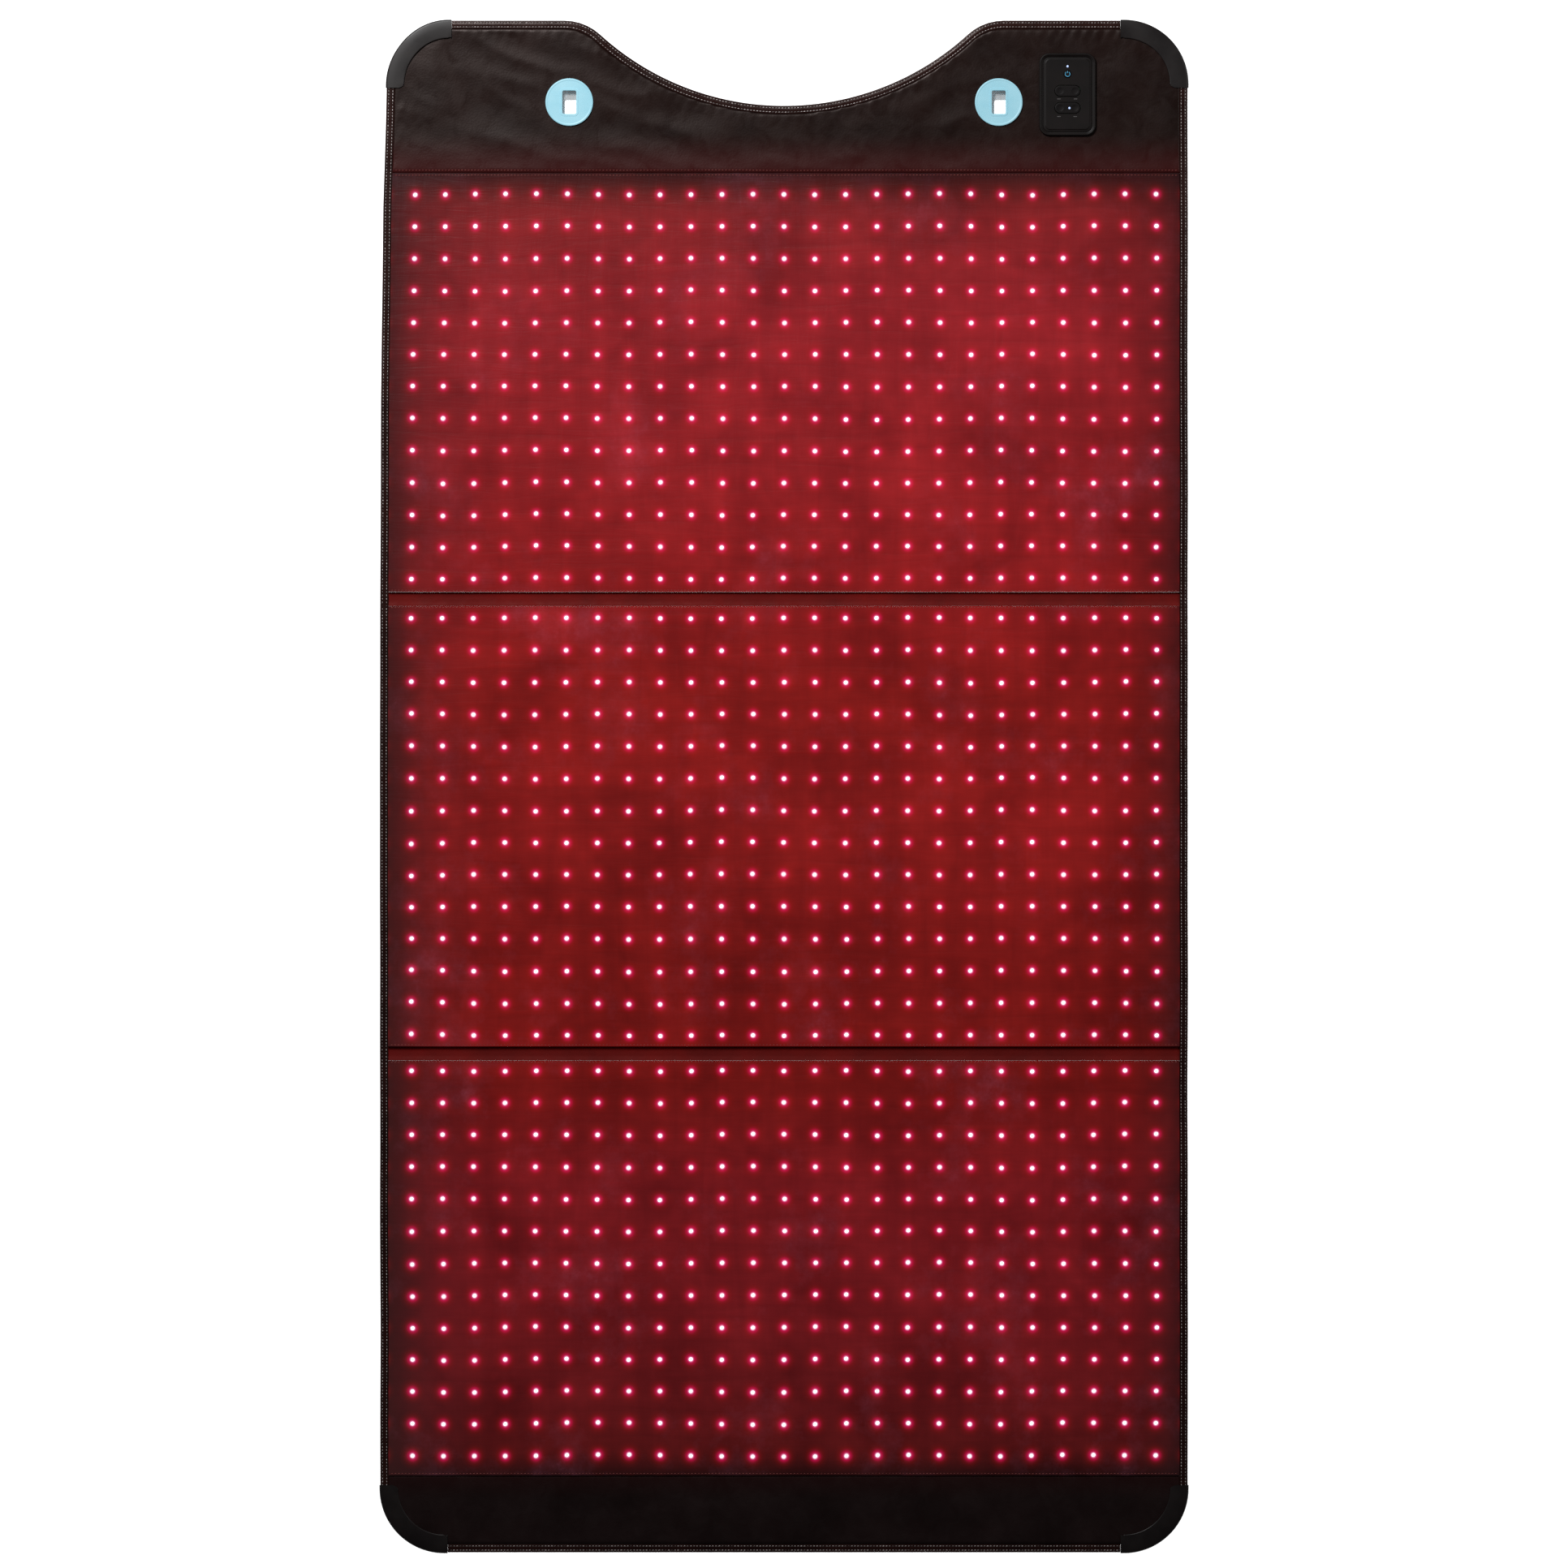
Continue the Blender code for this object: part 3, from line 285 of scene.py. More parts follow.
def makeFilm():
    # calendered PVC film over the LED board: semi-gloss, lit from behind. Its glow is painted light, emission that
    # stands in for the LEDs' light through the film, with painted hazy reflections over parts of it
    material, tree, shader = newMaterial(
        "ledWindowFilm", "#140506", film["roughness"], IOR=1.45, Emission_Strength=1.0, Specular_IOR_Level=0.22
    )
    spot = addNode(tree, "ShaderNodeTexCoord").outputs["Object"]
    axes = addNode(tree, "ShaderNodeSeparateXYZ", {}, {"Vector": spot})
    along = addNode(
        tree,
        "ShaderNodeMapRange",
        {"From Min": place["footSeam"], "From Max": place["headSeam"]},
        {"Value": axes.outputs["Y"]},
    )
    base = addNode(
        tree, "ShaderNodeValToRGB", {"stops": film["alongMat"]}, {"Fac": along.outputs["Result"]}
    )
    across = addNode(
        tree,
        "ShaderNodeMapRange",
        {"From Min": -place["side"] + coverInset, "From Max": place["side"] - coverInset},
        {"Value": axes.outputs["X"]},
    )
    fade = addNode(
        tree, "ShaderNodeValToRGB", {"stops": film["acrossMat"]}, {"Fac": across.outputs["Result"]}
    )
    # painted light and shade: the glow brighter and dimmer in patches 60 to 150 mm wide, where the film touches the
    # board or lifts off it
    patch = addNode(
        tree, "ShaderNodeTexNoise", {"Scale": 9.0, "Detail": 4.0, "Distortion": 0.5}, {"Vector": spot}
    )
    contact = addNode(
        tree,
        "ShaderNodeMapRange",
        {"From Min": 0.32, "From Max": 0.68, "To Min": 0.74, "To Max": 1.22},
        {"Value": patch.outputs["Fac"]},
    )
    # long fine wrinkles, mostly across the mat: a bump, and painted light and shade along them in the glow
    stretched = addNode(tree, "ShaderNodeMapping", {"Scale": (7.0, 62.0, 20.0)}, {"Vector": spot})
    crease = addNode(
        tree,
        "ShaderNodeTexNoise",
        {"Scale": 1.0, "Detail": 5.0, "Roughness": 0.62, "Distortion": 0.6},
        {"Vector": stretched.outputs["Vector"]},
    )
    creaseGlowShading = addNode(
        tree,
        "ShaderNodeMapRange",
        {"From Min": 0.3, "From Max": 0.72, "To Min": 0.9, "To Max": 1.11},
        {"Value": crease.outputs["Fac"]},
    )
    # upright wrinkles: a bump, and painted light and shade along them in the glow
    upright = addNode(tree, "ShaderNodeMapping", {"Scale": (58.0, 8.0, 20.0)}, {"Vector": spot})
    pleat = addNode(
        tree,
        "ShaderNodeTexNoise",
        {"Scale": 1.0, "Detail": 4.0, "Roughness": 0.6, "Distortion": 0.7},
        {"Vector": upright.outputs["Vector"]},
    )
    pleatGlowShading = addNode(
        tree,
        "ShaderNodeMapRange",
        {"From Min": 0.3, "From Max": 0.72, "To Min": 0.93, "To Max": 1.08},
        {"Value": pleat.outputs["Fac"]},
    )
    share = addNode(
        tree,
        "ShaderNodeMath",
        {"operation": "MULTIPLY"},
        {0: contact.outputs["Result"], 1: creaseGlowShading.outputs["Result"]},
    )
    share = addNode(
        tree, "ShaderNodeMath", {"operation": "MULTIPLY"}, {0: share.outputs[0], 1: pleatGlowShading.outputs["Result"]}
    )
    lit = addNode(
        tree,
        "ShaderNodeVectorMath",
        {"operation": "MULTIPLY"},
        {0: base.outputs["Color"], 1: fade.outputs["Color"]},
    )
    lit = addNode(
        tree, "ShaderNodeVectorMath", {"operation": "SCALE"}, {0: lit.outputs[0], "Scale": share.outputs[0]}
    )
    # painted reflection: hazy pinkish patches of studio light added to the glow over parts of the film
    reflectionHaze = addNode(
        tree,
        "ShaderNodeTexNoise",
        {"noise_dimensions": "4D", "W": 2.0, "Scale": 6.5, "Detail": 8.0, "Roughness": 0.72},
        {"Vector": spot},
    )
    paintedReflection = addNode(
        tree,
        "ShaderNodeValToRGB",
        {"stops": [(0.52, "#000000"), (0.6, "#190b11"), (0.67, "#341b25"), (0.78, "#583844")]},
        {"Fac": reflectionHaze.outputs["Fac"]},
    )
    # distance to the nearest LED, from the piece's own LED grid
    grid = addNode(tree, "ShaderNodeUVMap", {"uv_map": "ledGrid"})
    half = addNode(
        tree, "ShaderNodeVectorMath", {"operation": "ADD", 1: (0.5, 0.5, 0)}, {0: grid.outputs["UV"]}
    )
    nearest = addNode(
        tree, "ShaderNodeVectorMath", {"operation": "SNAP", 1: (1, 1, 1)}, {0: half.outputs[0]}
    )
    away = addNode(
        tree, "ShaderNodeVectorMath", {"operation": "SUBTRACT"}, {0: grid.outputs["UV"], 1: nearest.outputs[0]}
    )
    real = addNode(
        tree,
        "ShaderNodeVectorMath",
        {"operation": "MULTIPLY", 1: (film["pitchX"] / (16 * mm), film["pitchY"] / (16 * mm), 0)},
        {0: away.outputs[0]},
    )
    distance = addNode(tree, "ShaderNodeVectorMath", {"operation": "LENGTH"}, {0: real.outputs[0]})
    halo = addNode(
        tree, "ShaderNodeValToRGB", {"stops": film["halo"]}, {"Fac": distance.outputs["Value"]}
    )
    total = addNode(
        tree, "ShaderNodeVectorMath", {"operation": "ADD"}, {0: lit.outputs[0], 1: halo.outputs["Color"]}
    )
    total = addNode(
        tree, "ShaderNodeVectorMath", {"operation": "ADD"}, {0: total.outputs[0], 1: paintedReflection.outputs["Color"]}
    )
    marginGlow = addNode(
        tree, "ShaderNodeValToRGB", {"stops": film["marginGlow"]}, {"Fac": across.outputs["Result"]}
    )
    total = addNode(
        tree, "ShaderNodeVectorMath", {"operation": "ADD"}, {0: total.outputs[0], 1: marginGlow.outputs["Color"]}
    )
    tree.links.new(total.outputs[0], shader.inputs["Emission Color"])
    bump = addNode(
        tree, "ShaderNodeBump", {"Strength": 0.35, "Distance": 0.002}, {"Height": crease.outputs["Fac"]}
    )
    bump = addNode(
        tree,
        "ShaderNodeBump",
        {"Strength": 0.3, "Distance": 0.002},
        {"Height": pleat.outputs["Fac"], "Normal": bump.outputs["Normal"]},
    )
    tree.links.new(bump.outputs["Normal"], shader.inputs["Normal"])
    return material


coverLeather = makeLeather(
    "coverPuLeather", "#150a08", "#20120f", 2.2, 0.4,
    {"far": place["headSeam"] + 50 * mm, "near": place["headSeam"], "colour": "#3a1212"},
)
footLeather = makeLeather(
    "footPuLeather", "#170e0e", "#221717", 2.2, 0.4,
    {"far": place["footSeam"] - 30 * mm, "near": place["footSeam"], "colour": "#241010"},
)
backLeather = makeLeather("backPuLeather", "#181414", "#241f1f", 2.2, 0.46)
# fold strips: their saturated red is painted light from the LED windows beside them
stripLeatherPaintedRedLight = makeLeather("foldStripPuLeatherPaintedRedLight", "#5c0503", "#7a0a07", 2.2, 0.66)
tapeLeather = makeLeather("bindingTapePu", "#1c0d0b", "#2c1613", 1.6, 0.3)
filmMaterial = makeFilm()
ledMaterial = makeGlowing("ledEmitter", "#ffffff", "#ffe3f2", 1.6, 6.0)
lensMaterial = makeGlowing("indicatorLensPc", "#b4c8f4", "#7f9fe0", 0.8, 1.5)
iconMaterial = makeGlowing("keySymbolInk", "#4c9cc0", "#34789c", 0.75, 3.0)
guardPlastic = makePlastic("guardAbs", "#151010", "#1c1615", 0.42, Specular_IOR_Level=0.4)
eyeletPlastic = makePlastic("eyeletAbs", "#a6e2f4", "#b2e8f8", 0.38, strength=0.08)
controllerPlastic = makePlastic("controllerAbs", "#0c0706", "#120b0a", 0.55, Specular_IOR_Level=0.2)
keyRubber = makePlastic("keySilicone", "#0c0808", "#120d0d", 0.55, Specular_IOR_Level=0.18, grain=0.7)
labelInk = makePlastic("labelInk", "#5a5656", "#4c4949", 0.6)
# tape stitches: the near-white second colour, changing from stitch to stitch, is painted glints
threadPaintedGlints = makePlastic("stitchNylon", "#5a504e", "#efe6e3", 0.35, grain=0.6, strength=0.3, patch=260.0)
# seam stitches: their red is painted light from the LED windows beside them
threadPaintedRedLight = makePlastic("stitchNylonPaintedRedLight", "#7a2a26", "#a0504a", 0.45, grain=0.6, strength=0.3)
coreFelt = makePlastic("coreFelt", "#2b2827", "#35312f", 0.9, grain=1.2, strength=0.6)
boardFilm = makePlastic("ledBoardPolyimide", "#b0512a", "#c26436", 0.45)
laminate = makePlastic("circuitLaminate", "#1e6a3c", "#2a7c48", 0.45)
cableJacket = makePlastic("cablePvc", "#1c1b1b", "#272525", 0.5)
screwSteel = makePlastic("screwSteel", "#b9babb", "#a7a8a9", 0.34, Metallic=1.0)
inletNickel = makePlastic("inletNickel", "#bdbab2", "#aca9a1", 0.28, Metallic=1.0)
print("materials ready:", len(bpy.data.materials))

nodeFinish = {
    "core": coreFelt, "light_board": boardFilm, "jumper_cable": cableJacket, "harness": cableJacket,
    "circuit": laminate, "screw": screwSteel, "back_shell": controllerPlastic,
}
for nodeName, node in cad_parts.items():
    for word, finish in nodeFinish.items():
        if word in nodeName:
            for entry in node.material_slots:
                entry.material = finish


# ---------- modelling helpers ----------


def finishPiece(bm, name, material, sharp=35, lies=True):
    bmesh.ops.remove_doubles(bm, verts=bm.verts, dist=0.002 * mm)
    bmesh.ops.recalc_face_normals(bm, faces=bm.faces)
    if lies:
        for vert in bm.verts:
            vert.co = slack(vert.co)
    mesh = bpy.data.meshes.new(name)
    bm.to_mesh(mesh)
    bm.free()
    mesh.shade_smooth()
    mesh.set_sharp_from_angle(angle=radians(sharp))
    mesh.materials.append(material)
    piece = bpy.data.objects.new(name, mesh)
    scene.collection.objects.link(piece)
    return piece


def applyModifiers(piece):
    # the evaluated mesh takes the place of the piece's own
    graph = bpy.context.evaluated_depsgraph_get()
    mesh = bpy.data.meshes.new_from_object(piece.evaluated_get(graph), depsgraph=graph)
    piece.modifiers.clear()
    piece.data = mesh
    return piece


def cutAway(piece, cutters, operation="DIFFERENCE"):
    for cutter in cutters:
        modifier = piece.modifiers.new("cut", "BOOLEAN")
        modifier.operation = operation
        modifier.solver = "EXACT"
        modifier.object = cutter
    applyModifiers(piece)
    for cutter in cutters:
        bpy.data.objects.remove(cutter)
    return piece


def softenEdges(piece, width, segments=2, angle=35):
    piece.data.shade_smooth()
    modifier = piece.modifiers.new("softEdge", "BEVEL")
    modifier.width = width
    modifier.segments = segments
    modifier.limit_method = "ANGLE"
    modifier.angle_limit = radians(angle)
    # flat faces keep their own direction, so they shade flat
    normals = piece.modifiers.new("flatFaces", "WEIGHTED_NORMAL")
    normals.weight = 100
    return applyModifiers(piece)


def roundedLoop(bm, centre, width, length, radius, height, segments=8):
    # one rounded-rectangle edge loop
    corners = [(-1, -1), (1, -1), (1, 1), (-1, 1)]
    verts = [
        bm.verts.new((centre[0] + x * width / 2, centre[1] + y * length / 2, height)) for x, y in corners
    ]
    bm.faces.new(verts)
    made = bmesh.ops.bevel(
        bm, geom=verts, affect="VERTICES", offset=radius, segments=segments, profile=0.5, material=-1
    )
    faces = {face for vert in made["verts"] for face in vert.link_faces}
    loop = [edge for face in faces for edge in face.edges]
    bmesh.ops.delete(bm, geom=list(faces), context="FACES_ONLY")
    return loop


def loftLoops(bm, loops, capLow=True, capHigh=True, ring=False):
    for one, two in zip(loops, loops[1:]):
        bmesh.ops.bridge_loops(bm, edges=one + two)
    if ring:
        bmesh.ops.bridge_loops(bm, edges=loops[-1] + loops[0])
        return
    if capLow:
        bmesh.ops.contextual_create(bm, geom=loops[0])
    if capHigh:
        bmesh.ops.contextual_create(bm, geom=loops[-1])


def roundedSolid(name, centre, sections, material=None, ring=False, segments=8):
    # sections: (width, length, corner radius, height)
    bm = bmesh.new()
    loops = [roundedLoop(bm, centre, *section, segments=segments) for section in sections]
    loftLoops(bm, loops, ring=ring)
    return finishPiece(bm, name, material or controllerPlastic, lies=False)


def lathe(name, centre, profile, material=None, steps=64):
    # profile: (radius, height) from the axis round to the axis
    bm = bmesh.new()
    verts = [bm.verts.new((centre[0] + radius, centre[1], height)) for radius, height in profile]
    edges = [bm.edges.new(pair) for pair in zip(verts, verts[1:])]
    bmesh.ops.spin(
        bm,
        geom=verts + edges,
        cent=(centre[0], centre[1], 0),
        axis=(0, 0, 1),
        angle=2 * pi,
        steps=steps,
        use_merge=True,
    )
    return finishPiece(bm, name, material or controllerPlastic, lies=False)


def followRoute(bm, geom, route, stepLength, repeat=False):
    # carries a section, or repeats a stitch, along ("line", dx, dy) and ("arc", x, y, radius, degrees)
    for move in route:
        if move[0] == "line":
            length = hypot(move[1], move[2])
            steps = max(1, round(length / stepLength))
            done = bmesh.ops.spin(
                bm,
                geom=geom,
                cent=(0, 0, 0),
                axis=(0, 0, 1),
                dvec=(move[1] / steps, move[2] / steps, 0),
                angle=0,
                steps=steps,
                use_duplicate=repeat,
            )
        else:
            steps = max(1, round(move[3] * radians(abs(move[4])) / stepLength))
            done = bmesh.ops.spin(
                bm,
                geom=geom,
                cent=(move[1], move[2], 0),
                axis=(0, 0, 1),
                angle=radians(move[4]),
                steps=steps,
                use_duplicate=repeat,
            )
        geom = done["geom_last"]
    return geom


def sweepTape(name, start, inward, section, route, material, stepLength=12 * mm, sharp=35):
    # a closed section, (inset, height) points, carried along the edge and capped
    bm = bmesh.new()
    verts = [
        bm.verts.new((start[0] + inward[0] * inset, start[1] + inward[1] * inset, height))
        for inset, height in section
    ]
    first = [bm.edges.new((a, b)) for a, b in zip(verts, verts[1:] + verts[:1])]
    last = followRoute(bm, verts + first, route, stepLength)
    lastEdges = [item for item in last if isinstance(item, bmesh.types.BMEdge)]
    bmesh.ops.contextual_create(bm, geom=first)
    bmesh.ops.contextual_create(bm, geom=lastEdges)
    return finishPiece(bm, name, material, sharp)


def stitchRow(bm, start, heading, route, pitch, size, tilt=0.0):
    # one plump stitch, repeated; twenty faces each, because there are thousands
    made = bmesh.ops.create_icosphere(bm, subdivisions=1, radius=1.0)["verts"]
    turn = Matrix.Rotation(heading + radians(tilt), 4, "Z")
    shape = Matrix.Diagonal((size[0] / 2, size[1] / 2, size[2] / 2, 1))
    bmesh.ops.transform(bm, matrix=Matrix.Translation(start) @ turn @ shape, verts=made)
    edges = {edge for vert in made for edge in vert.link_edges}
    faces = {face for vert in made for face in vert.link_faces}
    followRoute(bm, [*made, *edges, *faces], route, pitch, repeat=True)


def ruffle(piece, held, growth, pressure, frames=20):
    # cloth on the piece: it grows a little between the points that are held, so it buckles
    group = piece.vertex_groups.new(name="held")
    if held:
        group.add(held, 1.0, "REPLACE")
    cloth = piece.modifiers.new("cloth", "CLOTH")
    settings = cloth.settings
    settings.quality = 5
    settings.mass = 0.25
    settings.tension_stiffness = 12
    settings.compression_stiffness = 12
    settings.shear_stiffness = 6
    settings.bending_stiffness = 0.4
    settings.shrink_min = -growth
    settings.effector_weights.gravity = 0
    settings.vertex_group_mass = "held"
    if pressure:
        settings.use_pressure = True
        settings.uniform_pressure_force = pressure
    cloth.collision_settings.use_collision = False
    cloth.point_cache.frame_start = 1
    cloth.point_cache.frame_end = frames
    for number in range(1, frames + 1):
        scene.frame_set(number)
    graph = bpy.context.evaluated_depsgraph_get()
    mesh = bpy.data.meshes.new_from_object(piece.evaluated_get(graph), depsgraph=graph)
    moved = [vert.co.copy() for vert in mesh.vertices]
    bpy.data.meshes.remove(mesh)
    piece.modifiers.clear()
    piece.vertex_groups.clear()
    scene.frame_set(1)
    return moved


# ---------- light windows and their LEDs ----------

led = {
    "rows": {"upper": 13, "middle": 14, "lower": 13},
    "columns": 25,
    "fromHead": {"upper": 24.9 * mm, "middle": 14.2 * mm, "lower": 12.2 * mm},
    "radius": (2.35 * mm, 1.95 * mm, 0.42 * mm),
    "tilt": 28,
    "wander": 1.7 * mm,
}
windowShape = {"cell": 8 * mm, "growth": 0.02, "wrinkle": 0.32 * mm, "skirt": 2.2 * mm, "wall": 0.35 * mm}


def wander(x, y):
    # the LED strings sit a little off their rows
    across = noise.noise(Vector((x * 7, y * 5, 11.3)))
    along = noise.noise(Vector((x * 9, y * 6, 47.9)))
    return led["wander"] * across, 1.5 * led["wander"] * along


def ledGrid(panel, x, y):
    # the same grid read backwards: where a point lies between columns and rows
    seekX, seekY = x, y
    for _ in range(3):
        across, along = wander(seekX, seekY)
        seekX, seekY = x - across, y - along
    column = seekX / film["pitchX"] + (led["columns"] - 1) / 2
    row = (highOf(panel + "_core").y - led["fromHead"][panel] - seekY) / film["pitchY"]
    return column, row


def makeWindow(panel):
    low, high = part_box(panel + "_light_window")
    size = high - low
    bm = bmesh.new()
    bmesh.ops.create_grid(
        bm,
        x_segments=round(size.x / windowShape["cell"]),
        y_segments=round(size.y / windowShape["cell"]),
        size=0.5,
    )
    top = high.z - windowShape["wrinkle"]
    bmesh.ops.scale(bm, vec=(size.x, size.y, 1), verts=bm.verts)
    bmesh.ops.translate(bm, vec=((low.x + high.x) / 2, (low.y + high.y) / 2, top), verts=bm.verts)
    for vert in bm.verts:
        if not vert.is_boundary:
            vert.co.z += 0.4 * mm * noise.noise(Vector((vert.co.x * 16, vert.co.y * 22, 5.0)))
    mesh = bpy.data.meshes.new(panel + "Film")
    bm.to_mesh(mesh)
    sheet = bpy.data.objects.new(panel + "Film", mesh)
    scene.collection.objects.link(sheet)
    held = [vert.index for vert in bm.verts if vert.is_boundary]
    moved = ruffle(sheet, held, windowShape["growth"], 0.0)
    bpy.data.objects.remove(sheet)
    rises = sorted(abs(point.z - top) for point in moved)
    tallest = max(rises[int(len(rises) * 0.97)], 0.01 * mm)
    bm.verts.ensure_lookup_table()
    for vert, point in zip(bm.verts, moved):
        rise = (point.z - top) / tallest
        fine = 0.35 * noise.noise(Vector((vert.co.x * 45, vert.co.y * 60, 9.0)))
        vert.co.z = top + windowShape["wrinkle"] * max(-1.6, min(0.95, rise + fine))
    rim = [edge for edge in bm.edges if edge.is_boundary]
    # the rim turns down in a small round before the skirt
    inner = bmesh.ops.extrude_edge_only(bm, edges=rim)["geom"]
    corner = [item for item in inner if isinstance(item, bmesh.types.BMVert)]
    bmesh.ops.translate(bm, vec=(0, 0, -0.5 * mm), verts=corner)
    rim = [item for item in inner if isinstance(item, bmesh.types.BMEdge)]
    skirt = bmesh.ops.extrude_edge_only(bm, edges=rim)["geom"]
    for item in skirt:
        if isinstance(item, bmesh.types.BMVert):
            item.co.z = high.z - windowShape["skirt"]
    layer = bm.loops.layers.uv.new("ledGrid")
    for face in bm.faces:
        for loop in face.loops:
            loop[layer].uv = ledGrid(panel, loop.vert.co.x, loop.vert.co.y)
    window = finishPiece(bm, panel + "WindowFilm", filmMaterial, 50)
    wall = window.modifiers.new("wall", "SOLIDIFY")
    wall.thickness = windowShape["wall"]
    wall.offset = -1
    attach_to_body(window, panel + "_panel")
    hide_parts(panel + "_light_window")
    return window


def makeLeds(panel):
    # one low dome, repeated along a row and then row by row
    bm = bmesh.new()
    firstX = -(led["columns"] - 1) / 2 * film["pitchX"]
    firstY = highOf(panel + "_core").y - led["fromHead"][panel]
    at = Matrix.Translation((firstX, firstY, place["windowTop"] - 0.12 * mm))
    shape = Matrix.Rotation(radians(led["tilt"]), 4, "Z") @ Matrix.Diagonal((*led["radius"], 1))
    bmesh.ops.create_uvsphere(bm, u_segments=8, v_segments=4, radius=1.0, matrix=at @ shape)
    for reach, pitch, turn in (
        ((led["columns"] - 1) * film["pitchX"], film["pitchX"], (1, 0)),
        ((led["rows"][panel] - 1) * film["pitchY"], film["pitchY"], (0, -1)),
    ):
        everything = [*bm.verts, *bm.edges, *bm.faces]
        followRoute(bm, everything, [("line", reach * turn[0], reach * turn[1])], pitch, repeat=True)
    for vert in bm.verts:
        column = round((vert.co.x - firstX) / film["pitchX"])
        row = round((firstY - vert.co.y) / film["pitchY"])
        home = Vector((firstX + column * film["pitchX"], firstY - row * film["pitchY"], 0))
        spot = Vector((*(a + b for a, b in zip(home, wander(home.x, home.y))), 0))
        vert.co += slack(spot) - home
    leds = finishPiece(bm, panel + "Leds", ledMaterial, 80, lies=False)
    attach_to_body(leds, panel + "_panel")
    return leds


for panel in ("upper", "middle", "lower"):
    makeWindow(panel)
    makeLeds(panel)
print("light windows done")


# ---------- leather: fold strips and back covers ----------

strip = {
    "cell": 1.6 * mm,
    "hem": 3.2 * mm,
    "hemRise": 0.45 * mm,
    "sag": 0.3 * mm,
    "front": {"slot": "strip_leather", "material": stripLeatherPaintedRedLight},
    "back": {"slot": "back_leather", "material": backLeather},
}


def flatSheet(name, low, high, cells, height, thickness, material):
    # a leather sheet whose underside follows height(x, y)
    bm = bmesh.new()
    bmesh.ops.create_grid(bm, x_segments=cells[0], y_segments=cells[1], size=0.5)
    bmesh.ops.scale(bm, vec=(high.x - low.x, high.y - low.y, 1), verts=bm.verts)
    middle = (low + high) / 2
    bmesh.ops.translate(bm, vec=(middle.x, middle.y, 0), verts=bm.verts)
    for vert in bm.verts:
        vert.co.z = height(vert.co.x, vert.co.y)
    upper = bmesh.ops.duplicate(bm, geom=bm.faces[:])["geom"]
    raised = [item for item in upper if isinstance(item, bmesh.types.BMVert)]
    bmesh.ops.translate(bm, vec=(0, 0, thickness), verts=raised)
    rim = [edge for edge in bm.edges if edge.is_boundary]
    bmesh.ops.bridge_loops(bm, edges=rim)
    return finishPiece(bm, name, material, 50)


def makeStrip(which, face):
    node = which + "_strip_" + face
    low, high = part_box(node)
    foot = place[which + "StripFoot"]
    head = place[which + "StripHead"]
    low, high = Vector((low.x, foot, low.z)), Vector((high.x, head, high.z))
    middle = (foot + head) / 2

    def frontHeight(x, y):
        fromEdge = min(y - foot, head - y)
        rise = strip["hemRise"] * (1 - smooth((fromEdge - strip["hem"] * 0.7) / (strip["hem"] * 0.6)))
        wave = 0.22 * mm * noise.noise(Vector((x * 30, y * 60, 2.0)))
        sag = strip["sag"] * (1 - ((y - middle) / (head - middle)) ** 2)
        return low.z + rise + wave - sag

    def backHeight(x, y):
        return 0.12 * mm + 0.12 * mm * noise.noise(Vector((x * 30, y * 60, 8.0)))

    cells = (round((high.x - low.x) / (8 * mm)), round((head - foot) / strip["cell"]))
    height = frontHeight if face == "front" else backHeight
    piece = flatSheet(
        which + "Strip" + face.capitalize(),
        low,
        high,
        cells,
        height,
        0.7 * mm,
        strip[face]["material"],
    )
    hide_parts(node)
    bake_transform(piece)
    return piece


stripEnds = {
    "upper": ("upper_panel", place["upperStripFoot"], place["upperStripHead"]),
    "lower": ("lower_panel", place["lowerStripHead"], place["lowerStripFoot"]),
}


def makeCable(which):
    # a flat cable
    node = which + "_jumper_cable"
    low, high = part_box(node)
    cells = (8, 12)
    piece = flatSheet(
        which + "JumperCable", low, high, cells, lambda x, y: low.z, high.z - low.z, cableJacket
    )
    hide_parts(node)
    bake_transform(piece)


for which, ends in stripEnds.items():
    makeCable(which)
    for face in ("front", "back"):
        makeStrip(which, face)


def backHeight(x, y):
    # wrinkles only dent the back inwards, so that backs can lie on each other
    broad = noise.noise(Vector((x * 6, y * 14, 21.0)))
    fine = noise.noise(Vector((x * 26, y * 40, 31.0)))
    return (0.16 + 0.13 * broad + 0.05 * fine) * mm


def makeBackCover(panel):
    low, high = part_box(panel + "_back_cover")
    size = high - low
    cells = (round(size.x / (9 * mm)), round(size.y / (9 * mm)))
    piece = flatSheet(panel + "BackLeather", low, high, cells, backHeight, 0.75 * mm, backLeather)
    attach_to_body(piece, panel + "_panel")
    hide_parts(panel + "_back_cover")


def makeLayer(node, name, material):
    # a flat layer inside the mat that follows its drawn-in left edge
    low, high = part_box(node)
    size = high - low
    cells = (round(size.x / (20 * mm)), round(size.y / (20 * mm)))
    piece = flatSheet(name, low, high, cells, lambda x, y: low.z, size.z, material)
    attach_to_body(piece, "upper_panel")
    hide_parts(node)
    return piece


makeLayer("upper_core", "upperCoreFelt", coreFelt)
makeLayer("upper_light_board", "upperLightBoard", boardFilm)
for panel in ("upper", "middle", "lower"):
    makeBackCover(panel)
print("strips, backs and inner layers done")


# ---------- flaps: padded tops and their backs ----------

neck = {"radius": 320 * mm, "shoulder": 62.5 * mm, "depth": 100 * mm}
cornerX = place["side"] - cornerRadius
headCornerY = place["head"] - cornerRadius
neckReach = neck["radius"] + neck["shoulder"]
shoulderX = (neckReach**2 - (neckReach - neck["depth"]) ** 2) ** 0.5
shoulderY = place["head"] - neck["shoulder"]
neckY = place["head"] + neck["radius"] - neck["depth"]
neckTurn = degrees(asin(shoulderX / neckReach))


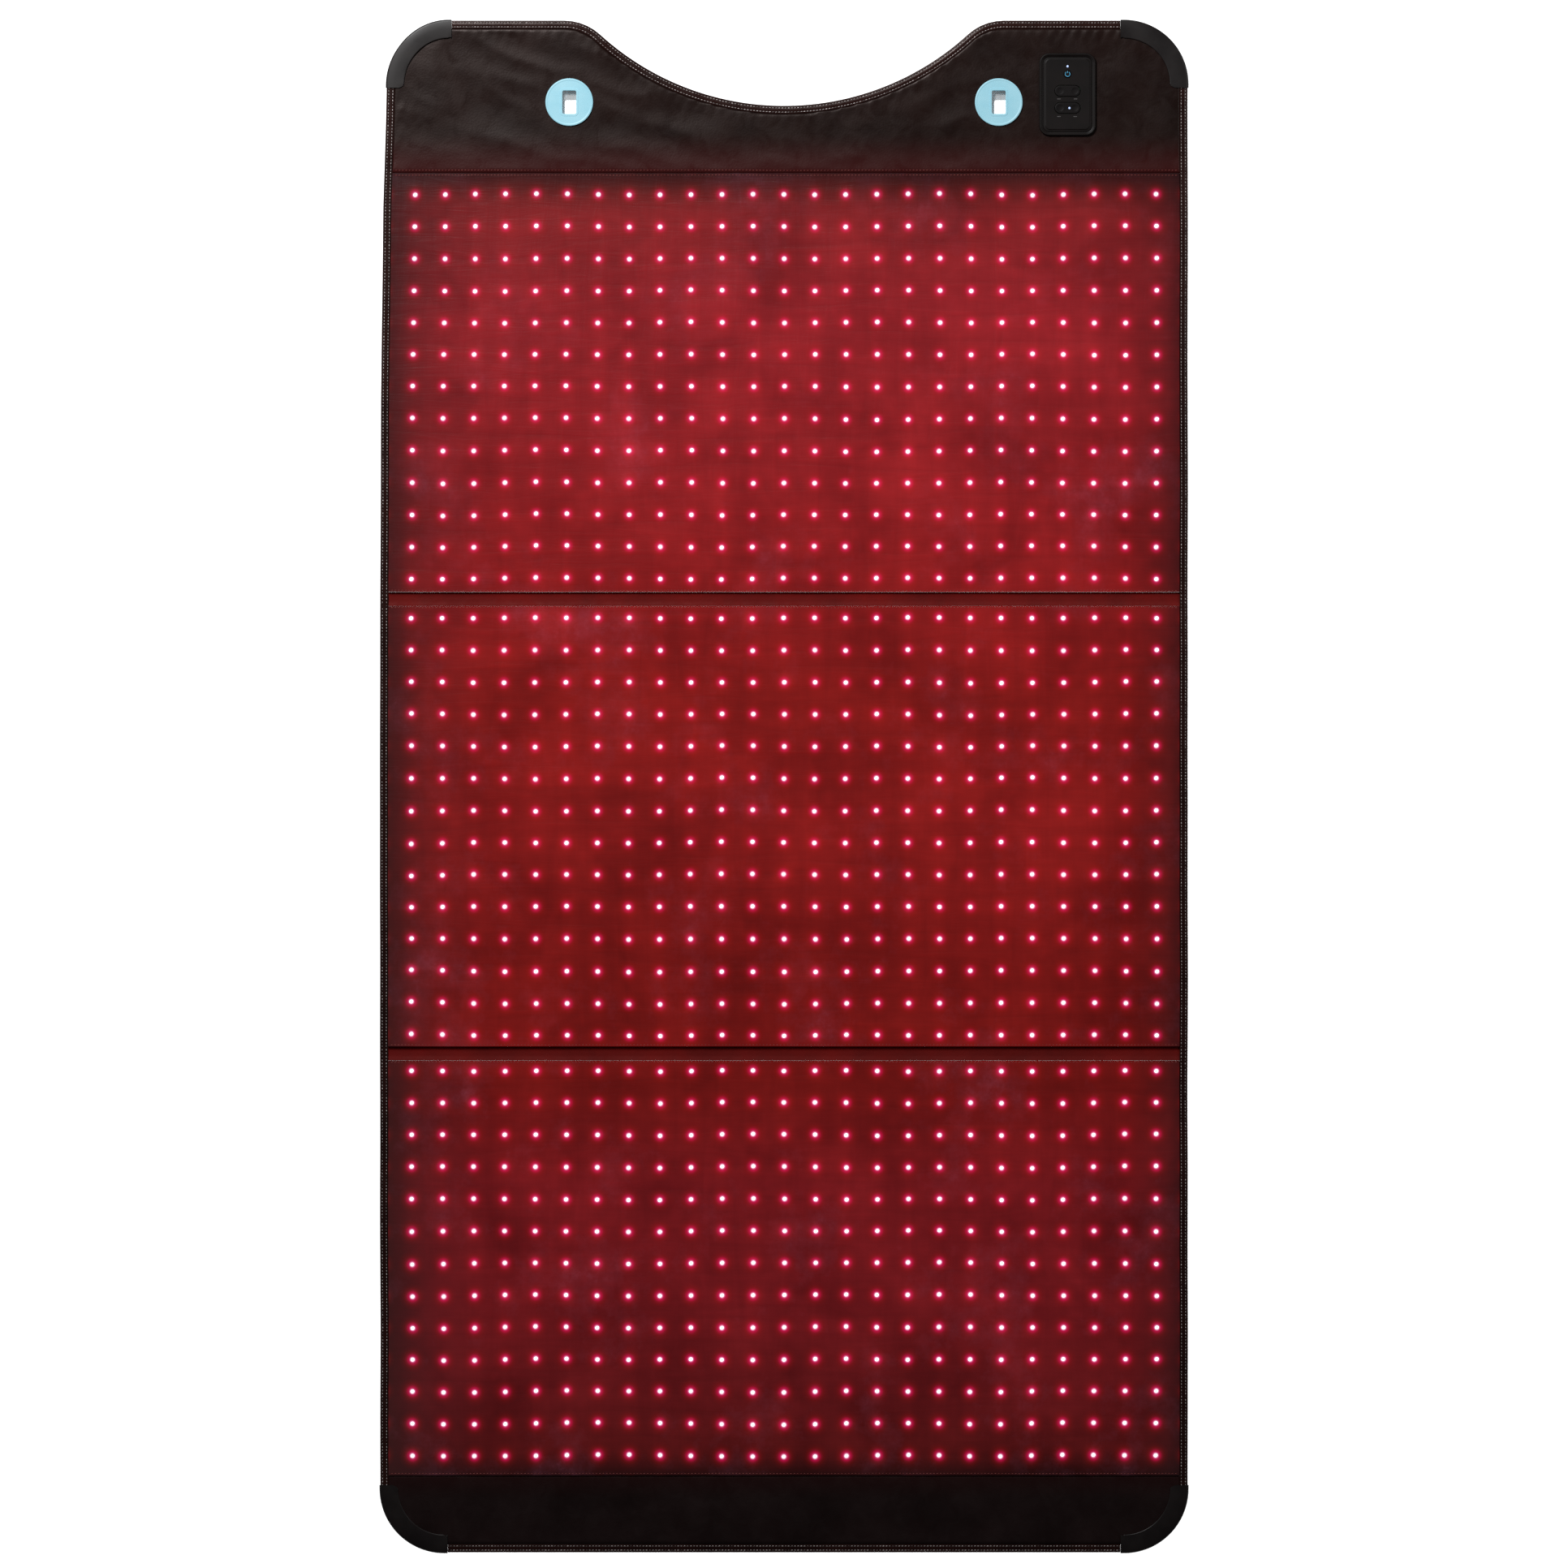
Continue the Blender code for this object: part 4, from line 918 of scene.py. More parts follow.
def neckRoute(inset, run):
    # from the right end of the head edge to the left one
    return [
        ("line", -run, 0),
        ("arc", shoulderX, shoulderY, neck["shoulder"] - inset, neckTurn),
        ("arc", 0, neckY, neck["radius"] + inset, -2 * neckTurn),
        ("arc", -shoulderX, shoulderY, neck["shoulder"] - inset, neckTurn),
        ("line", -run, 0),
    ]


def headOutline(inset):
    radius = cornerRadius - inset
    start = Vector((place["side"] - inset, place["headSeam"], 0))
    rise = headCornerY - place["headSeam"]
    return start, [
        ("line", 0, rise),
        ("arc", cornerX, headCornerY, radius, 90),
        *neckRoute(inset, cornerX - shoulderX),
        ("arc", -cornerX, headCornerY, radius, 90),
        ("line", 0, -rise),
        ("line", 2 * start.x, 0),
    ]


def footOutline(inset):
    radius = cornerRadius - inset
    start = Vector((place["side"] - inset, place["footSeam"], 0))
    rise = place["footSeam"] - (place["foot"] + cornerRadius)
    return start, [
        ("line", 0, -rise),
        ("arc", cornerX, place["foot"] + cornerRadius, radius, -90),
        ("line", -2 * cornerX, 0),
        ("arc", -cornerX, place["foot"] + cornerRadius, radius, -90),
        ("line", 0, rise),
        ("line", 2 * start.x, 0),
    ]


eyeletCentres = [(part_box(f"eyelet_front_{s}")[0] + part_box(f"eyelet_front_{s}")[1]) / 2 for s in ("left", "right")]
controllerCentre = (lowOf("controller_bezel") + highOf("controller_bezel")) / 2

flapLayer = {
    "cell": 4.5 * mm,
    "stretch": 5.0,
    "pressure": 4.0,
    "growth": 0.015,
    "headPuff": 0.55 * mm,
    "headWrinkle": 2.3 * mm,
    "footPuff": 0.35 * mm,
    "footWrinkle": 0.9 * mm,
}


def clearOfFittings(x, y):
    # 0 at an eyelet or the controller, 1 well away from them
    share = 1.0
    for centre in eyeletCentres:
        share = min(share, smooth((hypot(x - centre.x, y - centre.y) - 27 * mm) / (26 * mm)))
    awayX = max(abs(x - controllerCentre.x) - 32 * mm, 0)
    awayY = max(abs(y - controllerCentre.y) - 47 * mm, 0)
    return min(share, smooth(hypot(awayX, awayY) / (22 * mm)))


def fromHeadEdge(x, y):
    # distance to the tape's inner edge, round the corners and the neck
    inset = min(place["side"] - abs(x), place["head"] - y)
    if abs(x) > cornerX and y > headCornerY:
        inset = cornerRadius - hypot(abs(x) - cornerX, y - headCornerY)
    if abs(x) < shoulderX:
        inset = min(inset, hypot(x, y - neckY) - neck["radius"])
    return inset - tapeWidth


def headWrinkle(x, y):
    drift = noise.noise(Vector((x * 4, y * 6, 3.0)))
    broad = noise.noise(Vector((x * 7 + drift, y * 19 - x * 5, 7.0)))
    fold = 1 - 2.2 * abs(noise.noise(Vector((x * 11 + 2 * drift, y * 26 + x * 8, 17.0))))
    small = noise.noise(Vector((x * 30, y * 55, 27.0)))
    # the tape gathers the leather into short puckers, most at the corner by the controller
    edge = max(0.0, 1 - max(fromHeadEdge(x, y), 0) / (24 * mm))
    corner = smooth((x - 0.27) / 0.08) * smooth((y - 0.82) / 0.04)
    pucker = edge * edge * (0.3 + 0.9 * corner) * sin((x * 2.2 - y * 1.1) * 210 + 6 * drift)
    return 0.42 * broad + 0.34 * fold + 0.12 * small + 0.5 * pucker - 0.2


def footWrinkle(x, y):
    broad = noise.noise(Vector((x * 5, y * 24 + x * 2, 37.0)))
    small = noise.noise(Vector((x * 22, y * 50, 41.0)))
    return 0.7 * broad + 0.3 * small


def flapSolid(name, outline, low, high, holes):
    # the flap's outline as a slab, holed, then remeshed; it is stretched upwards while it is remeshed
    start, route = outline
    bm = bmesh.new()
    first = bm.verts.new(start)
    followRoute(bm, [first], route, 6 * mm)
    bmesh.ops.remove_doubles(bm, verts=bm.verts, dist=0.01 * mm)
    face = bmesh.ops.contextual_create(bm, geom=bm.edges[:])["faces"][0]
    grown = bmesh.ops.extrude_face_region(bm, geom=[face])["geom"]
    lifted = [item for item in grown if isinstance(item, bmesh.types.BMVert)]
    bmesh.ops.translate(bm, vec=(0, 0, (high - low) * flapLayer["stretch"]), verts=lifted)
    slab = finishPiece(bm, name, coverLeather, lies=False)
    cutters = []
    for centre, width, length, radius in holes:
        sections = [(width, length, radius, -5 * mm), (width, length, radius, 60 * mm)]
        cutters.append(roundedSolid("hole", centre, sections))
    if cutters:
        cutAway(slab, cutters)
    remesh = slab.modifiers.new("remesh", "REMESH")
    remesh.mode = "VOXEL"
    remesh.voxel_size = flapLayer["cell"]
    applyModifiers(slab)
    # the remesh cuts the two corners at the seam, so they are squared again and kept sharp
    crease = slab.data.attributes.new("crease_vert", "FLOAT", "POINT")
    for vert in slab.data.vertices:
        fromCorner = hypot(abs(vert.co.x) - start.x, vert.co.y - start.y)
        if fromCorner < 0.8 * flapLayer["cell"]:
            vert.co.x = start.x if vert.co.x > 0 else -start.x
            vert.co.y = start.y
            crease.data[vert.index].value = 1.0
        vert.co.z = low + vert.co.z / flapLayer["stretch"]
    return slab


def shapeFlap(slab, low, high, puff, wrinkle, wrinkleHeight, fittings):
    rest = [vert.co.copy() for vert in slab.data.vertices]
    moved = rest
    moved = ruffle(slab, [], flapLayer["growth"], flapLayer["pressure"])
    middle = (low + high) / 2
    for vert, was, now in zip(slab.data.vertices, rest, moved):
        free = clearOfFittings(was.x, was.y) if fittings else 1.0
        seam = place["headSeam"] if fittings else place["footSeam"]
        nearSeam = smooth(abs(was.y - seam) / (14 * mm))
        swell = now - was
        swell.z = max(-puff, min(puff, swell.z)) * free
        swell.x = max(-0.4 * mm, min(0.4 * mm, swell.x))
        swell.y = 0.0 if nearSeam < 0.5 else max(-0.4 * mm, min(0.4 * mm, swell.y))
        point = was + swell
        if was.z > middle:
            edge = smooth(fromHeadEdge(was.x, was.y) / (7 * mm)) if fittings else 1.0
            share = (0.15 + 0.85 * free) * (0.25 + 0.75 * nearSeam) * (0.35 + 0.65 * edge)
            point.z += wrinkle * share * wrinkleHeight(was.x, was.y)
        point.z = max(point.z, low)
        vert.co = slack(point)
    slab.data.shade_smooth()
    finer = slab.modifiers.new("finer", "SUBSURF")
    finer.levels = 1
    finer.render_levels = 1
    return applyModifiers(slab)


eyeletHoles = [((c.x, c.y), 23 * mm, 34 * mm, 5 * mm) for c in eyeletCentres]
shellHole = (controllerCentre[:2], 57 * mm, 87.4 * mm, 7 * mm)
headFold = {"start": (0, place["headSeam"], 0), "end": (0, place["headSeam"] + 18 * mm, 0)}
footFold = {"start": (0, place["footSeam"], 0), "end": (0, place["footSeam"] - 11 * mm, 0)}


def makeFlapPad(which, outline, holes, puff, wrinkle, height, material):
    low = lowOf(which + "_flap_core").z
    high = place["flapTop"] - 0.1 * mm
    slab = flapSolid(which + "FlapPad", outline(tapeWidth - 0.3 * mm), low, high, holes)
    shapeFlap(slab, low, high, puff, wrinkle, height, which == "head")
    slab.data.materials.clear()
    slab.data.materials.append(material)
    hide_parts(which + "_flap_front_cover", which + "_flap_core")
    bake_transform(slab)
    return slab


def makeFlapBack(which, outline, holes):
    high = highOf(which + "_flap_back_cover").z - 0.05 * mm
    slab = flapSolid(which + "FlapBackLeather", outline(coverInset), 0, 4 * high, holes)
    for vert in slab.data.vertices:
        vert.co.z = vert.co.z / 4
        if vert.co.z < high / 2:
            vert.co.z = max(vert.co.z, backHeight(vert.co.x, vert.co.y))
        vert.co = slack(vert.co)
    slab.data.shade_smooth()
    slab.data.materials.clear()
    slab.data.materials.append(backLeather)
    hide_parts(which + "_flap_back_cover")
    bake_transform(slab)
    return slab


discHoles = [((c.x, c.y), 56.6 * mm, 56.6 * mm, 28.2 * mm) for c in eyeletCentres]
inletCentre = (lowOf("power_inlet") + highOf("power_inlet")) / 2
inletHole = (inletCentre[:2], 18.6 * mm, 18.6 * mm, 9.2 * mm)
makeFlapPad(
    "head", headOutline, [*eyeletHoles, shellHole], flapLayer["headPuff"], flapLayer["headWrinkle"],
    headWrinkle, coverLeather,
)
makeFlapPad(
    "foot", footOutline, [], flapLayer["footPuff"], flapLayer["footWrinkle"],
    footWrinkle, footLeather,
)
makeFlapBack("head", headOutline, [*discHoles, inletHole])
makeFlapBack("foot", footOutline, [])
print("flaps done")


# ---------- edge tape and its stitching ----------

tape = {
    "section": [  # (inset, height) in mm, from the lower lip round the edge to the upper one
        (9.5, 0.0), (8.3, 0.0), (7.9, 0.3), (7.4, 0.3), (7.0, 0.0), (1.4, 0.0), (0.5, 0.3), (0.1, 1.0),
        (0.0, 2.0), (0.0, 3.3), (0.15, 4.2), (0.55, 4.85), (1.2, 5.15), (2.2, 5.2), (2.5, 4.95),
        (3.1, 4.95), (3.4, 5.15), (5.2, 5.2), (7.0, 5.1), (7.3, 4.85), (7.9, 4.85), (8.2, 5.05),
        (9.2, 4.95), (9.6, 4.6), (9.5, 4.1), (1.1, 4.1), (0.8, 3.8), (0.8, 1.2), (1.1, 0.95), (9.5, 0.85),
    ],
    "pitch": 3.7 * mm,
    "stitch": (2.7 * mm, 0.95 * mm, 0.7 * mm),
    "rows": [(2.8 * mm, 5.1 * mm), (7.6 * mm, 5.02 * mm), (7.6 * mm, 0.32 * mm)],
}


def makeTape(name, start, inward, route, attach, node=None, stepLength=12 * mm, heading=90):
    section = [(inset * mm, height * mm) for inset, height in tape["section"]]
    piece = sweepTape(name, start, inward, section, route(0), tapeLeather, stepLength)
    if node:
        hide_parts(node)
    attach(piece)
    bm = bmesh.new()
    for inset, height in tape["rows"]:
        at = (start[0] + inward[0] * inset, start[1] + inward[1] * inset, height)
        stitchRow(bm, at, radians(heading), route(inset), tape["pitch"], tape["stitch"], tilt=5)
    attach(finishPiece(bm, name + "Stitches", threadPaintedGlints, sharp=80))


def riding(body):
    return lambda piece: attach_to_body(piece, body)


def bending(low, high, start, end):
    return lambda piece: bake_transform(piece)


def straight(dx, dy):
    return lambda inset: [("line", dx, dy)]


stretches = [
    # name, from, to, how it is attached, CAD node
    ("upperTape", place["upperStripHead"], place["headSeam"], riding("upper_panel"), "upper_binding"),
    ("middleTape", place["lowerStripHead"], place["upperStripFoot"], riding("middle_panel"), "middle_binding"),
    ("lowerTape", place["footSeam"], place["lowerStripFoot"], riding("lower_panel"), "lower_binding"),
    (
        "upperFoldTape", place["upperStripFoot"], place["upperStripHead"],
        bending("middle_panel", *stripEnds["upper"]), None,
    ),
    (
        "lowerFoldTape", place["lowerStripHead"], place["lowerStripFoot"],
        bending("middle_panel", *stripEnds["lower"]), None,
    ),
    (
        "headTape", place["headSeam"], highOf("head_flap_binding_right").y,
        bending("upper_panel", "head_flap", headFold["start"][1], headFold["end"][1]), "head_flap_binding",
    ),
    (
        "footTape", place["footSeam"], lowOf("foot_flap_binding_right").y,
        bending("lower_panel", "foot_flap", footFold["start"][1], footFold["end"][1]), "foot_flap_binding",
    ),
]
for side, sign in (("Left", -1), ("Right", 1)):
    for name, begin, end, attach, node in stretches:
        step = 1.5 * mm if abs(end - begin) < 40 * mm else 3 * mm if name == "headTape" else 10 * mm
        makeTape(
            name + side,
            (sign * place["side"], begin),
            (-sign, 0),
            straight(0, end - begin),
            attach,
            node and f"{node}_{side.lower()}",
            step,
        )

neckStart = highOf("head_flap_binding_neck").x
makeTape(
    "neckTape", (neckStart, place["head"]), (0, -1), lambda inset: neckRoute(inset, neckStart - shoulderX),
    riding("head_flap"), "head_flap_binding_neck", 9 * mm, 0,
)
makeTape(
    "endTape", (-neckStart, place["foot"]), (0, 1), straight(2 * neckStart, 0),
    riding("foot_flap"), "foot_flap_binding_end", 9 * mm, 0,
)
print("tape done")

# Stitch lines across the mat: (name, y, height, thread, how it is attached).
acrossRows = {"pitch": 4.0 * mm, "stitch": (2.9 * mm, 0.7 * mm, 0.5 * mm), "half": 460 * mm}
onWindow = place["windowTop"] - 0.3 * mm
crossing = [
    ("headSeamStitches", place["headSeam"] + 3.2 * mm, place["flapTop"] + 0.1 * mm, threadPaintedRedLight,
     bending("upper_panel", "head_flap", headFold["start"][1], headFold["end"][1])),
    ("headWindowStitches", place["headSeam"] - 2.6 * mm, onWindow, threadPaintedRedLight, riding("upper_panel")),
    ("upperWindowStitches", place["upperStripHead"] + 1.8 * mm, onWindow, threadPaintedRedLight, riding("upper_panel")),
    ("middleHeadStitches", place["upperStripFoot"] - 2.0 * mm, onWindow, threadPaintedRedLight, riding("middle_panel")),
    ("middleFootStitches", place["lowerStripHead"] + 1.8 * mm, onWindow, threadPaintedRedLight, riding("middle_panel")),
    ("lowerWindowStitches", place["lowerStripFoot"] - 2.0 * mm, onWindow, threadPaintedRedLight, riding("lower_panel")),
    ("footWindowStitches", place["footSeam"] + 2.4 * mm, onWindow, threadPaintedRedLight, riding("lower_panel")),
]
for name, y, height, thread, attach in crossing:
    bm = bmesh.new()
    start = (-acrossRows["half"], y, height)
    route = [("line", 2 * acrossRows["half"], 0)]
    stitchRow(bm, start, 0, route, acrossRows["pitch"], acrossRows["stitch"], tilt=4)
    for vert in bm.verts:
        vert.co.y += 0.5 * mm * noise.noise(Vector((vert.co.x * 12, y * 30, 4.0)))
    attach(finishPiece(bm, name, thread, sharp=80))
print("stitching done")


# ---------- corner guards ----------

guard = {
    "section": [  # (inset, height) in mm
        (21, 0), (21, 0.95), (0.9, 0.95), (0.8, 1.1), (0.8, 5.15), (0.9, 5.3), (21, 5.3), (21, 6.0),
        (20.8, 6.3), (20.4, 6.45), (19.8, 6.5), (10, 6.55), (1.6, 6.5), (0.6, 6.3), (-0.2, 5.9),
        (-0.75, 5.3), (-1, 4.5), (-1, 1.3), (-0.85, 0.6), (-0.4, 0.15), (0.3, 0),
    ],
    "run": 4 * mm,
    "endRound": 6 * mm,
}


def makeGuard(end, side, signX, signY):
    edgeY = place["head"] if signY > 0 else place["foot"]
    arcY = edgeY - signY * cornerRadius
    start = (signX * place["side"], arcY - signY * guard["run"])
    route = [
        ("line", 0, signY * guard["run"]),
        ("arc", signX * cornerX, arcY, cornerRadius, signX * signY * 90),
        ("line", -signX * guard["run"], 0),
    ]
    section = [(inset * mm, height * mm) for inset, height in guard["section"]]
    bm = bmesh.new()
    verts = [bm.verts.new((start[0] - signX * inset, start[1], height)) for inset, height in section]
    first = [bm.edges.new((a, b)) for a, b in zip(verts, verts[1:] + verts[:1])]
    last = followRoute(bm, verts + first, route, 1.6 * mm)
    bmesh.ops.contextual_create(bm, geom=first)
    bmesh.ops.contextual_create(bm, geom=[item for item in last if isinstance(item, bmesh.types.BMEdge)])
    # round the inner corners of the lip at both ends
    reach = guard["endRound"]
    width = guard["section"][0][0] * mm
    for vert in bm.verts:
        fromSide = place["side"] - abs(vert.co.x)
        fromEnd = place["head"] - abs(vert.co.y)
        sideRun = abs(vert.co.y) - abs(start[1])
        endRun = abs(vert.co.x) - (cornerX - guard["run"])
        for inset, run, axis in ((fromSide, sideRun, "x"), (fromEnd, endRun, "y")):
            if 0 <= run < reach and inset > width - reach:
                most = width - reach + (reach**2 - (reach - run) ** 2) ** 0.5
                if inset > most:
                    outward = 1 if getattr(vert.co, axis) > 0 else -1
                    setattr(vert.co, axis, getattr(vert.co, axis) + outward * (inset - most))
    piece = finishPiece(bm, f"cornerGuard{end.capitalize()}{side.capitalize()}", guardPlastic, 40)
    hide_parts(f"corner_guard_{end}_{side}")
    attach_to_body(piece, f"{end}_flap")


for end, signY in (("head", 1), ("foot", -1)):
    for side, signX in (("left", -1), ("right", 1)):
        makeGuard(end, side, signX, signY)
print("guards done")


# ---------- hanging eyelets ----------

eyelet = {
    "disc": [  # (radius, height) in mm, from under the middle round the rim to the top
        (0, 5.3), (28, 5.3), (28, 6.5), (27.85, 6.85), (27.5, 7.1), (27.0, 7.22), (26.4, 7.25),
        (25.9, 7.2), (25.5, 7.0), (25.0, 6.95), (20, 7.0), (0, 7.05),
    ],
    "back": [(0, 1.0), (28, 1.0), (28, 0.55), (27.8, 0.2), (27.3, 0.0), (24.6, 0.0), (24.3, 0.2), (23.6, 0.2),
             (23.3, 0.0), (0, 0.0)],
    "slot": (16.4 * mm, 27.6 * mm, 2 * mm),
    "sleeve": (19.4 * mm, 30.6 * mm, 3.5 * mm),
    "rim": (21.4 * mm, 32.6 * mm, 4.5 * mm),
}


def inMillimetres(profile):
    return [(radius * mm, height * mm) for radius, height in profile]


def makeEyelet(side, centre):
    spot = (centre.x, centre.y)
    low = lowOf(f"eyelet_front_{side}").z
    front = lathe(f"eyeletFront{side.capitalize()}", spot, inMillimetres(eyelet["disc"]), eyeletPlastic,
                  96)
    sleeve = roundedSolid("sleeve", spot, [(*eyelet["sleeve"], low), (*eyelet["sleeve"], 6 * mm)])
    raised = roundedSolid("raised", spot, [(*eyelet["rim"], 6 * mm), (*eyelet["rim"], 7.3 * mm)])
    cutAway(front, [sleeve, raised], "UNION")
    cutAway(front, [roundedSolid("slot", spot, [(*eyelet["slot"], -mm), (*eyelet["slot"], 9 * mm)])])
    softenEdges(front, 0.35 * mm, 3)
    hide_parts(f"eyelet_front_{side}")
    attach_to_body(front, "head_flap")
    back = lathe(f"eyeletBack{side.capitalize()}", spot, inMillimetres(eyelet["back"]), eyeletPlastic,
                 96)
    cutAway(back, [roundedSolid("slot", spot, [(*eyelet["slot"], -mm), (*eyelet["slot"], 2 * mm)])])
    softenEdges(back, 0.12 * mm, 2)
    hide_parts(f"eyelet_back_{side}")
    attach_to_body(back, "head_flap")


for side, centre in zip(("left", "right"), eyeletCentres):
    makeEyelet(side, centre)
print("eyelets done")


# ---------- controller ----------

controller = {
    "bezel": [  # (width, length, corner radius, height) in mm, round the ring
        (66.6, 97, 12, 5.3), (66.6, 97, 12, 7.1), (66.2, 96.6, 11.8, 7.7), (65.4, 95.8, 11.4, 8.15),
        (64.2, 94.6, 10.8, 8.38), (62.8, 93.2, 10.1, 8.38), (61.8, 92.2, 9.6, 8.15), (60.8, 91.2, 9.1, 7.8),
        (58.6, 89.0, 8.0, 7.6), (57.8, 88.2, 7.6, 7.4), (57.6, 88, 7.5, 5.3),
    ],
    "face": [
        (57, 87.4, 7.2, 5.9), (57, 87.4, 7.2, 7.1), (56.6, 87, 7.0, 7.3), (53.6, 84, 5.9, 7.35),
        (52.6, 83, 5.6, 7.45), (51.2, 81.6, 5.0, 7.82), (50.4, 80.8, 4.6, 7.9),
    ],
    "rocker": [
        (30, 13, 6.45, 4.9), (30, 13, 6.45, 7.4), (29.7, 12.7, 6.3, 7.8), (29, 12, 5.95, 8.02),
        (27.8, 10.8, 5.35, 8.1),
    ],
    "dimple": [(0, 7.78), (1.6, 7.8), (3.0, 7.9), (3.9, 8.05), (4.6, 8.3), (4.6, 9), (0, 9)],
    "dimpleAt": 8.6 * mm,
    "power": [
        (0, 5.0), (5.75, 5.0), (5.75, 5.6), (4.35, 5.6), (4.35, 7.7), (4.22, 7.98), (3.9, 8.14), (3.4, 8.2),
        (2.4, 8.1), (0, 8.02),
    ],
    "status": [(0, 4.5), (1.2, 4.5), (1.2, 7.6), (1.05, 7.8), (0.6, 7.93), (0, 7.97)],
    "modeLight": [(0, 4.9), (1.2, 4.9), (1.2, 7.9), (1.0, 8.02), (0.55, 8.11), (0, 8.14)],
    "inlet": [
        (0, 2.3), (9, 2.3), (9, 0.5), (8.85, 0.2), (8.5, 0.05), (7.9, 0), (4.6, 0), (4.2, 0.25), (4.0, 0.6),
        (4.0, 1.9), (1.1, 1.9), (1.1, 0.6), (0.8, 0.35), (0, 0.3),
    ],
    "labels": [(-10, -5.4), (9.3, -5.4), (-10, -26), (9, -26)],
}


def scaled(sections):
    return [tuple(value * mm for value in section) for section in sections]


def centreOf(node):
    low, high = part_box(node)
    return ((low.x + high.x) / 2, (low.y + high.y) / 2)


bezel = roundedSolid(
    "controllerBezel", centreOf("controller_bezel"), scaled(controller["bezel"]), controllerPlastic,
    ring=True, segments=12,
)
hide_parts("controller_bezel")
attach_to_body(bezel, "head_flap")

facePlate = roundedSolid(
    "controllerFace", centreOf("controller_face"), scaled(controller["face"]), controllerPlastic,
    segments=12,
)
openings = []
for node, grow in (("timer_rocker", 0.8), ("mode_rocker", 0.8)):
    sizes = scaled([(30 + grow, 13 + grow, 6.85, 5.0), (30 + grow, 13 + grow, 6.85, 9.0)])
    openings.append(roundedSolid("opening", centreOf(node), sizes))
openings.append(lathe("opening", centreOf("power_button"), inMillimetres([(0, 5), (4.75, 5), (4.75, 9), (0, 9)])))
openings.append(lathe("opening", centreOf("status_light_lens"), inMillimetres([(0, 5), (1.4, 5), (1.4, 9), (0, 9)])))
cutAway(facePlate, openings)
softenEdges(facePlate, 0.2 * mm, 2, 50)
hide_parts("controller_face")
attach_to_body(facePlate, "head_flap")

for name in ("timer", "mode"):
    node = name + "_rocker"
    x, y = centreOf(node)
    key = roundedSolid(name + "Key", (x, y), scaled(controller["rocker"]), keyRubber, segments=12)
    cutters = [
        lathe("dimple", (x + sign * controller["dimpleAt"], y), inMillimetres(controller["dimple"]))
        for sign in (-1, 1)
    ]
    if name == "mode":
        bore = inMillimetres([(0, 4), (1.35, 4), (1.35, 9), (0, 9)])
        cutters.append(lathe("bore", centreOf("mode_light_lens"), bore, steps=32))
    cutAway(key, cutters)
    softenEdges(key, 0.12 * mm, 2, 30)
    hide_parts(node)
    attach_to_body(key, node)

powerKey = lathe("powerKey", centreOf("power_button"), inMillimetres(controller["power"]), keyRubber)
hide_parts("power_button")
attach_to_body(powerKey, "power_button")
for name, node, body in (
    ("status", "status_light_lens", "head_flap"),
    ("modeLight", "mode_light_lens", "mode_rocker"),
):
    lens = lathe(name + "Lens", centreOf(node), inMillimetres(controller[name]), lensMaterial, 32)
    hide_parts(node)
    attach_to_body(lens, body)
inlet = lathe("powerInlet", centreOf("power_inlet"), inMillimetres(controller["inlet"]), inletNickel)
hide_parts("power_inlet")
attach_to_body(inlet, "head_flap")

# The power symbol: a ring with a gap at its top, and the bar in the gap.
symbol = {"radius": 2.75 * mm, "width": 0.5 * mm, "gap": 70, "bar": 2.2 * mm, "low": 8.05 * mm, "high": 8.25 * mm}
x, y = centreOf("power_button")
bm = bmesh.new()
lead = radians(90 + symbol["gap"] / 2)
corners = [(-0.5, symbol["low"]), (0.5, symbol["low"]), (0.5, symbol["high"]), (-0.5, symbol["high"])]
ends = []
for share, height in corners:
    radius = symbol["radius"] + share * symbol["width"]
    ends.append(bm.verts.new((x + radius * cos(lead), y + radius * sin(lead), height)))
arcFace = bm.faces.new(ends)
turned = bmesh.ops.spin(
    bm, geom=[arcFace, *arcFace.edges, *ends], cent=(x, y, 0), axis=(0, 0, 1),
    angle=radians(360 - symbol["gap"]), steps=36,
)
bar = bmesh.ops.create_cube(bm, size=1.0)["verts"]
bmesh.ops.scale(bm, vec=(symbol["width"], symbol["bar"], symbol["high"] - symbol["low"]), verts=bar)
bmesh.ops.translate(
    bm, vec=(x, y + symbol["radius"] - 0.3 * mm, (symbol["high"] + symbol["low"]) / 2), verts=bar
)
icon = finishPiece(bm, "powerSymbol", iconMaterial, lies=False)
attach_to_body(icon, "power_button")

bm = bmesh.new()
for offsetX, offsetY in controller["labels"]:
    middle = (controllerCentre.x + offsetX * mm, controllerCentre.y + offsetY * mm)
    sizes = scaled([(4.2, 0.8, 0.25, 7.8), (4.2, 0.8, 0.25, 7.93), (4.0, 0.6, 0.2, 7.96)])
    loftLoops(bm, [roundedLoop(bm, middle, *size, segments=3) for size in sizes])
labels = finishPiece(bm, "keyLabelBars", labelInk, lies=False)
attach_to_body(labels, "head_flap")
print("controller done")


# ---------- floor, light and camera ----------

studio = {
    "floorHalf": 40.0,
    "floorDrop": 0.4 * mm,
    "floor": "#a8a8a8",
    "floorGlow": 0.09,
    "world": (0.03, 0.03, 0.032, 1.0),
    "key": {"at": (-0.95, 2.1, 2.2), "aim": (0.0, 0.35, 0.0), "size": 0.9, "watts": 72},
    "fill": {"at": (2.2, 0.9, 1.7), "aim": (0.0, 0.2, 0.0), "size": 1.6, "watts": 12},
    # lights only the floor, and only the eyelets shade it
    "floorSun": {"toward": (-0.22, 0.8, 0.55), "strength": 15.5, "degrees": 2.5},
    "lens": 200,
    "across": 1.840,
    "aim": (0.0, 0.0029, 0.0),
}

